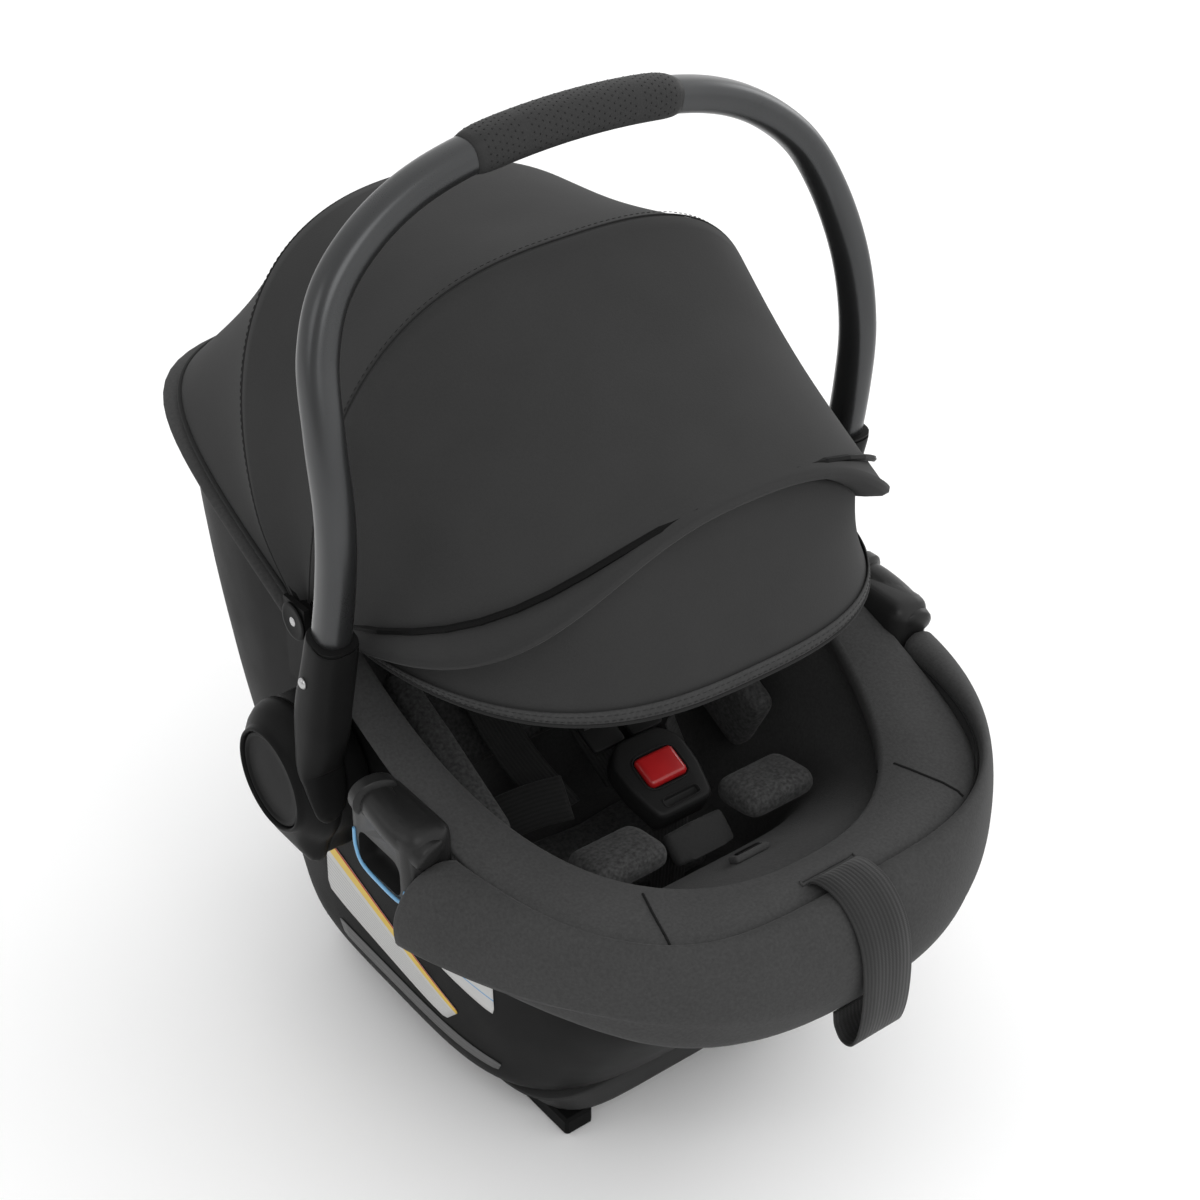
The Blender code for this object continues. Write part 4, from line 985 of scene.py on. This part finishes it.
def plumped(name, node, finish, pressure=4.0, cap=0.006, voxel=0.0045, shrink=0.0022):
    """A pad blown up as cloth from its own solid; no point moves further than cap."""
    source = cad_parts[node].data.copy()
    shape = bmesh.new()
    shape.from_mesh(source)
    bmesh.ops.remove_doubles(shape, verts=shape.verts, dist=1e-5)
    bmesh.ops.recalc_face_normals(shape, faces=shape.faces)
    made = settle_mesh(name, shape, finish)
    even_out = made.modifiers.new("even", "REMESH")
    even_out.mode, even_out.voxel_size = "VOXEL", voxel
    smaller = made.modifiers.new("smaller", "DISPLACE")
    smaller.strength, smaller.mid_level = -shrink, 0.0
    relaxed = made.modifiers.new("relaxed", "SMOOTH")
    relaxed.iterations, relaxed.factor = 3, 0.5
    applied(made)
    rest = np.array([v.co for v in made.data.vertices])
    blow = made.modifiers.new("blow", "CLOTH")
    blow.settings.quality = 4
    blow.settings.use_pressure = True
    blow.settings.uniform_pressure_force = pressure
    blow.settings.effector_weights.gravity = 0
    blow.settings.tension_stiffness = blow.settings.compression_stiffness = 8
    blow.point_cache.frame_start, blow.point_cache.frame_end = 1, 20
    for tick in range(1, 21):
        bpy.context.scene.frame_set(tick)
    swollen = made.evaluated_get(bpy.context.evaluated_depsgraph_get()).data
    moved = np.array([v.co for v in swollen.vertices]) - rest
    far = np.linalg.norm(moved, axis=1)[:, None]
    moved *= np.minimum(1.0, cap / np.maximum(far, 1e-9))
    made.modifiers.remove(blow)
    bpy.context.scene.frame_set(1)
    made.data.vertices.foreach_set("co", (rest + moved).astype(np.float32).ravel())
    for face in made.data.polygons:
        face.use_smooth = True
    made.data.update()
    finer = made.modifiers.new("finer", "SUBSURF")
    finer.levels = finer.render_levels = 1
    return applied(made)


PADS = (("back_pad", HEATHER, 4.0, 0.0050), ("head_support", HEATHER, 4.0, 0.0045),
        ("side_bolster_left", HEATHER, 4.0, 0.0055), ("side_bolster_right", HEATHER, 4.0, 0.0055),
        ("leg_pad_left", HEATHER, 9.0, 0.0095), ("leg_pad_right", HEATHER, 9.0, 0.0095),
        ("seat_pad", HEATHER, 4.0, 0.0040), ("crotch_pad", PLAIN, 3.0, 0.0030))
pads = {}
for node, finish, pressure, cap in PADS:
    pads[node] = plumped(node + "_cushion", node, finish, pressure, cap)
    mount(pads[node], "carrier", node)

# ---------------------------------------------------------------- harness
# 38 mm polyester webbing in a ribbed weave: shoulder and lap straps end folded through plastic-coated
# steel tongues, the crotch strap holds the buckle, and a loop at the foot end pulls the harness tight.
webbing = Finish("webbing", Specular_IOR_Level=0.3, Sheen_Weight=0.1)
ribs = webbing.nodes.add("ShaderNodeSeparateXYZ", {}, {"Vector": webbing.flat})
across_web, along_web = (Wire(webbing.nodes, ribs.socket.node.outputs[k]) for k in range(2))
rib = (across_web * (2 * math.pi / 0.0028)).math("SINE")
pick = (along_web * (2 * math.pi / 0.0011)).math("SINE")
fuzz = webbing.noise(0.0012, 2.0)
webbing.colour(grey(0.0120), grey(0.0270), rib * 0.25 + fuzz * 0.5 + 0.25)
webbing.rough(0.72 + fuzz * 0.2)
webbing.relief(rib * 0.6 + pick * 0.35 + fuzz * 0.3, 0.00022, 0.7)
WEB = webbing.material
BACK_FOOT, BACK_HEAD = np.array([0.0, 0.030, 0.104]), np.array([0.0, 0.250, 0.398])
back_way = (BACK_HEAD - BACK_FOOT) / np.linalg.norm(BACK_HEAD - BACK_FOOT)
back_out = np.array([0.0, -back_way[2], back_way[1]])


def on_back(along, out, x=0.0):
    """A point above the seat back, in the seat's own frame."""
    return BACK_FOOT + back_way * along + back_out * out + np.array([x, AHEAD, 0])


def strap(name, points, width, side=(1, 0, 0), thick=0.0016, node=None, per_span=8, finish=WEB):
    """Flat webbing through the points, with rounded selvedges; its width lies along side."""
    half_w, half_t = width / 2, thick / 2
    section = [(-half_w, 0), (-half_w + 0.0006, -half_t), (-half_w / 3, -half_t), (half_w / 3, -half_t),
               (half_w - 0.0006, -half_t), (half_w, 0), (half_w - 0.0006, half_t), (half_w / 3, half_t),
               (-half_w / 3, half_t), (-half_w + 0.0006, half_t)]
    made = skin(name, swept(curve(points, per_span), side, section), finish)
    return mount(made, "carrier", node or ())


BUCKLE = np.array([0.0, AHEAD - 0.094, 0.219])
BUCKLE_TURN = Matrix.Rotation(math.radians(24), 4, "X")


def in_buckle(x, y, z):
    """A place in the buckle's own frame: y towards the chest, z out of its face."""
    return BUCKLE + np.array(BUCKLE_TURN.to_3x3() @ Vector((x, y, z)))


for side_name, sign in SIDES:
    strap("shoulder_web_" + side_name, [
        on_back(0.205, 0.0275, sign * 0.036), on_back(0.190, 0.034, sign * 0.036),
        on_back(0.120, 0.040, sign * 0.034),
        on_back(0.060, 0.052, sign * 0.030), on_back(0.012, 0.080, sign * 0.026)], 0.030,
        node="shoulder_strap_" + side_name)
    strap("lap_web_" + side_name, [
        (sign * 0.094, AHEAD - 0.004, 0.150), (sign * 0.080, AHEAD - 0.020, 0.172),
        (sign * 0.060, AHEAD - 0.040, 0.190),
        (sign * 0.044, AHEAD - 0.056, 0.200)], 0.030, side=(0, 0.6, 0.8), node="lap_strap_" + side_name)
strap("crotch_web", [(0, AHEAD - 0.098, 0.098), (0, AHEAD - 0.104, 0.130), (0, AHEAD - 0.107, 0.170),
                     (0, AHEAD - 0.1065, 0.2000)], 0.030, node="crotch_strap")
pull_points = [(0, AHEAD + y, z) for y, z in (
    (-0.2535, 0.2440), (-0.2570, 0.2525), (-0.2680, 0.2565), (-0.2820, 0.2545), (-0.2945, 0.2450),
    (-0.3030, 0.2300),
    (-0.3070, 0.207), (-0.3068, 0.178), (-0.3020, 0.158), (-0.2930, 0.153), (-0.2860, 0.160),
    (-0.2840, 0.170))]
strap("pull_web", pull_points, 0.038, node="pull_strap")

# ---------------------------------------------------------------- buckle, tongues and adjuster
# A black moulded buckle with sloping shoulders and a red press button in a thin raised ring; two coated
# steel tongues click into its top edge.  The adjuster lies in the cover in front of it.
GLOSSY_RED = Finish("button_red", Roughness=0.32, Coat_Weight=0.2)
GLOSSY_RED.colour((0.36, 0.008, 0.010), (0.47, 0.014, 0.016), GLOSSY_RED.noise(0.010))
GLOSSY_RED.relief(GLOSSY_RED.noise(0.0006), 0.00004, 0.5)
BUCKLE_PLASTIC = moulded("buckle_plastic", 0.0140, grain=0.0004, gloss=0.40, shine=0.1)


def slab(name, outline, low, high, finish, edge=0.002, segments=3):
    """An outline of (x, y) points between two heights in the buckle's frame, with rounded edges."""
    shape = bmesh.new()
    face = shape.faces.new([shape.verts.new((x, y, low)) for x, y in outline])
    grown = bmesh.ops.extrude_face_region(shape, geom=[face])
    bmesh.ops.translate(shape, vec=(0, 0, high - low),
                        verts=[g for g in grown["geom"] if isinstance(g, bmesh.types.BMVert)])
    rims = [e for e in shape.edges if abs(e.verts[0].co.z - e.verts[1].co.z) < 1e-7]
    bmesh.ops.bevel(shape, geom=rims, offset=edge, segments=segments, affect="EDGES", profile=0.5)
    bmesh.ops.transform(shape, matrix=Matrix.Translation(Vector(BUCKLE)) @ BUCKLE_TURN, verts=shape.verts)
    return settle_mesh(name, shape, finish)


def soft_outline(points, count=64, rounds=3):
    """An even outline of (x, y) pairs with its corners rounded."""
    return averaged(even(np.array([(x, y, 0) for x, y in points]), count, closed=True), rounds)[:, :2]


case = slab("buckle_case", soft_outline([(-0.017, 0.030), (0.017, 0.030), (0.0275, 0.018), (0.0275, -0.004),
                                         (0.0215, -0.030), (-0.0215, -0.030), (-0.0275, -0.004),
                                         (-0.0275, 0.018)]),
            -0.0098, 0.0098, BUCKLE_PLASTIC, edge=0.0035, segments=4)
for tool_dims, place, edge in (((0.0325, 0.0245, 0.012), (0, 0.002, 0.0125), 0.0045),
                               ((0.026, 0.0055, 0.006), (0, -0.0215, 0.0105), 0.0015)):
    joined(case, rounded_box("tool", tool_dims, in_buckle(*place), edge, BUCKLE_PLASTIC, BUCKLE_TURN))
mount(crisp(case, 40), "carrier", "buckle")
button = rounded_box("red_button", (0.0300, 0.0220, 0.0078), in_buckle(0, 0.002, 0.0096), 0.0036,
                     GLOSSY_RED.material,
                     BUCKLE_TURN, segments=5)
mount(crisp(button, 60), "buckle_key", "buckle_button")
ring_line = [in_buckle(u, 0.002 + v, 0.0098) for u, v in oval(0.0172, 0.0132, 4.5, 64)]
grow("button_ring", PIPING, [ring_line + ring_line[:1]], "carrier", Radius=0.0008, Finish=BUCKLE_PLASTIC)
slot_line = [in_buckle(u, -0.0215 + v, 0.0098) for u, v in oval(0.0140, 0.0036, 5.0, 48)]
grow("slot_ring", PIPING, [slot_line + slot_line[:1]], "carrier", Radius=0.0006, Finish=BUCKLE_PLASTIC)
for side_name, sign in SIDES:
    plate = slab("tongue_plate_" + side_name, soft_outline([(sign * 0.0155 + x, 0.0448 + y) for x, y in (
        (-0.0125, -0.0126), (0.0125, -0.0126), (0.0125, 0.010), (0.008, 0.0126), (-0.008, 0.0126),
        (-0.0125, 0.010))],
        48, 2), -0.0022, 0.0022, BUCKLE_PLASTIC, edge=0.0012)
    mount(crisp(plate, 40), "carrier", "tongue_" + side_name)
    loop_points = [in_buckle(sign * 0.0155, 0.0448 + y, z) for y, z in (
        (0.004, 0.0040), (0.008, 0.0075), (0.014, 0.0080), (0.0175, 0.004), (0.0160, -0.001),
        (0.0110, -0.0035))]
    strap("tongue_fold_" + side_name, loop_points, 0.022, per_span=6)

SHELF_TURN = Matrix.Rotation(math.radians(-36), 4, "X")
ADJUSTER = np.array([0.0, AHEAD - 0.183, 0.2160])
frame_piece = rounded_box("adjuster_lips", (0.0266, 0.0106, 0.0046), ADJUSTER, 0.0018, LINER_CLOTH,
                          SHELF_TURN)
joined(frame_piece, rounded_box("tool", (0.0202, 0.0062, 0.02), ADJUSTER, 0.0010, LINER_CLOTH, SHELF_TURN))
mount(crisp(frame_piece), "carrier", "adjuster_frame")
key = rounded_box("adjuster_button", (0.0188, 0.0048, 0.0038),
                  ADJUSTER + np.array(SHELF_TURN.to_3x3() @ Vector((0, 0, 0.0012))), 0.0010, HUB_PLASTIC,
                  SHELF_TURN)
mount(crisp(key), "adjuster", "adjuster_key")

# ---------------------------------------------------------------- side labels
# Plain printed film stickers on both flanks of the shell, without any wording: a pale one with a coloured
# band, a pale one with a blue corner, and a long dark strip near the foot.
shell_tree = BVHTree.FromObject(shell, bpy.context.evaluated_depsgraph_get())


def sticker(name, sign, corners, finish, rows=16, wide=24, up=0.00035):
    """A film sticker between four (y, z) corners, laid on the shell's flank."""
    a, b, c, d = (np.array(p) for p in corners)
    grid = []
    for v in np.linspace(0, 1, rows):
        row = []
        for u in np.linspace(0, 1, wide):
            u2, v2 = 2 * u - 1, 2 * v - 1
            pull = max(0.0, abs(u2) + abs(v2) - 1.72) * 0.16      # rounds the corners
            y, z = ((a * (1 - u) + b * u) * (1 - v) + (d * (1 - u) + c * u) * v)
            mid = (a + b + c + d) / 4
            y, z = np.array([y, z]) * (1 - pull) + mid * pull
            place, normal, _, _ = shell_tree.ray_cast(Vector((sign * 0.3, AHEAD + y, z)),
                                                      Vector((-sign, 0, 0)))
            row.append(place + normal * up)
        grid.append(row)
    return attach(thickened(skin(name, grid, finish, ring=False), 0.0002, 1.0), "carrier")


def printed(name, paper, bands):
    """Printed film: paper colour with bands along V, each (start, stop, colour), all in metres."""
    made = Finish(name, Specular_IOR_Level=0.5)
    parts = made.nodes.add("ShaderNodeSeparateXYZ", {}, {"Vector": made.flat})
    v = Wire(made.nodes, parts.socket.node.outputs[1])
    tone = made.nodes.add("ShaderNodeMix", {"data_type": "RGBA"},
                          {0: made.noise(0.01), 6: (*[p * 0.94 for p in paper], 1), 7: (*paper, 1)}, out=2)
    for start, stop, colour in bands:
        inside = (v > start) * (v < stop)
        tone = made.nodes.add("ShaderNodeMix", {"data_type": "RGBA"}, {0: inside, 6: tone, 7: (*colour, 1)},
                              out=2)
    made.nodes.tree.links.new(tone.socket, made.shader.inputs["Base Color"])
    made.rough(0.38 + made.noise(0.02) * 0.1)
    return made.material


PALE = (0.50, 0.50, 0.49)
LINES = [(0.016 + 0.0030 * i, 0.0168 + 0.0030 * i, (0.30, 0.30, 0.30)) for i in range(9)]
BANDED = printed("banded_label", PALE, [(0.0, 0.0022, (0.42, 0.05, 0.02)),
                                        (0.0022, 0.0105, (0.62, 0.42, 0.03))] + LINES)
CORNERED = printed("cornered_label", PALE, [(0.004, 0.0052, (0.10, 0.28, 0.50)),
                                            (0.030, 0.0312, (0.10, 0.28, 0.50))])
STRIP = printed("dark_label", (0.040, 0.040, 0.040),
                [(0.004, 0.0044, (0.12, 0.12, 0.12)), (0.009, 0.0094, (0.12, 0.12, 0.12))])
STICKERS = (
    ("banded_label_", ((0.055, 0.155), (-0.088, 0.100), (-0.068, 0.078), (0.070, 0.096)), BANDED),
    ("cornered_label_", ((-0.045, 0.168), (-0.135, 0.178), (-0.128, 0.128), (-0.072, 0.134)), CORNERED),
    ("dark_label_", ((0.062, 0.074), (-0.118, 0.072), (-0.112, 0.061), (0.058, 0.060)), STRIP))
for side_name, sign in SIDES:
    for name, corners, film in STICKERS:
        sticker(name + side_name, sign, corners, film)
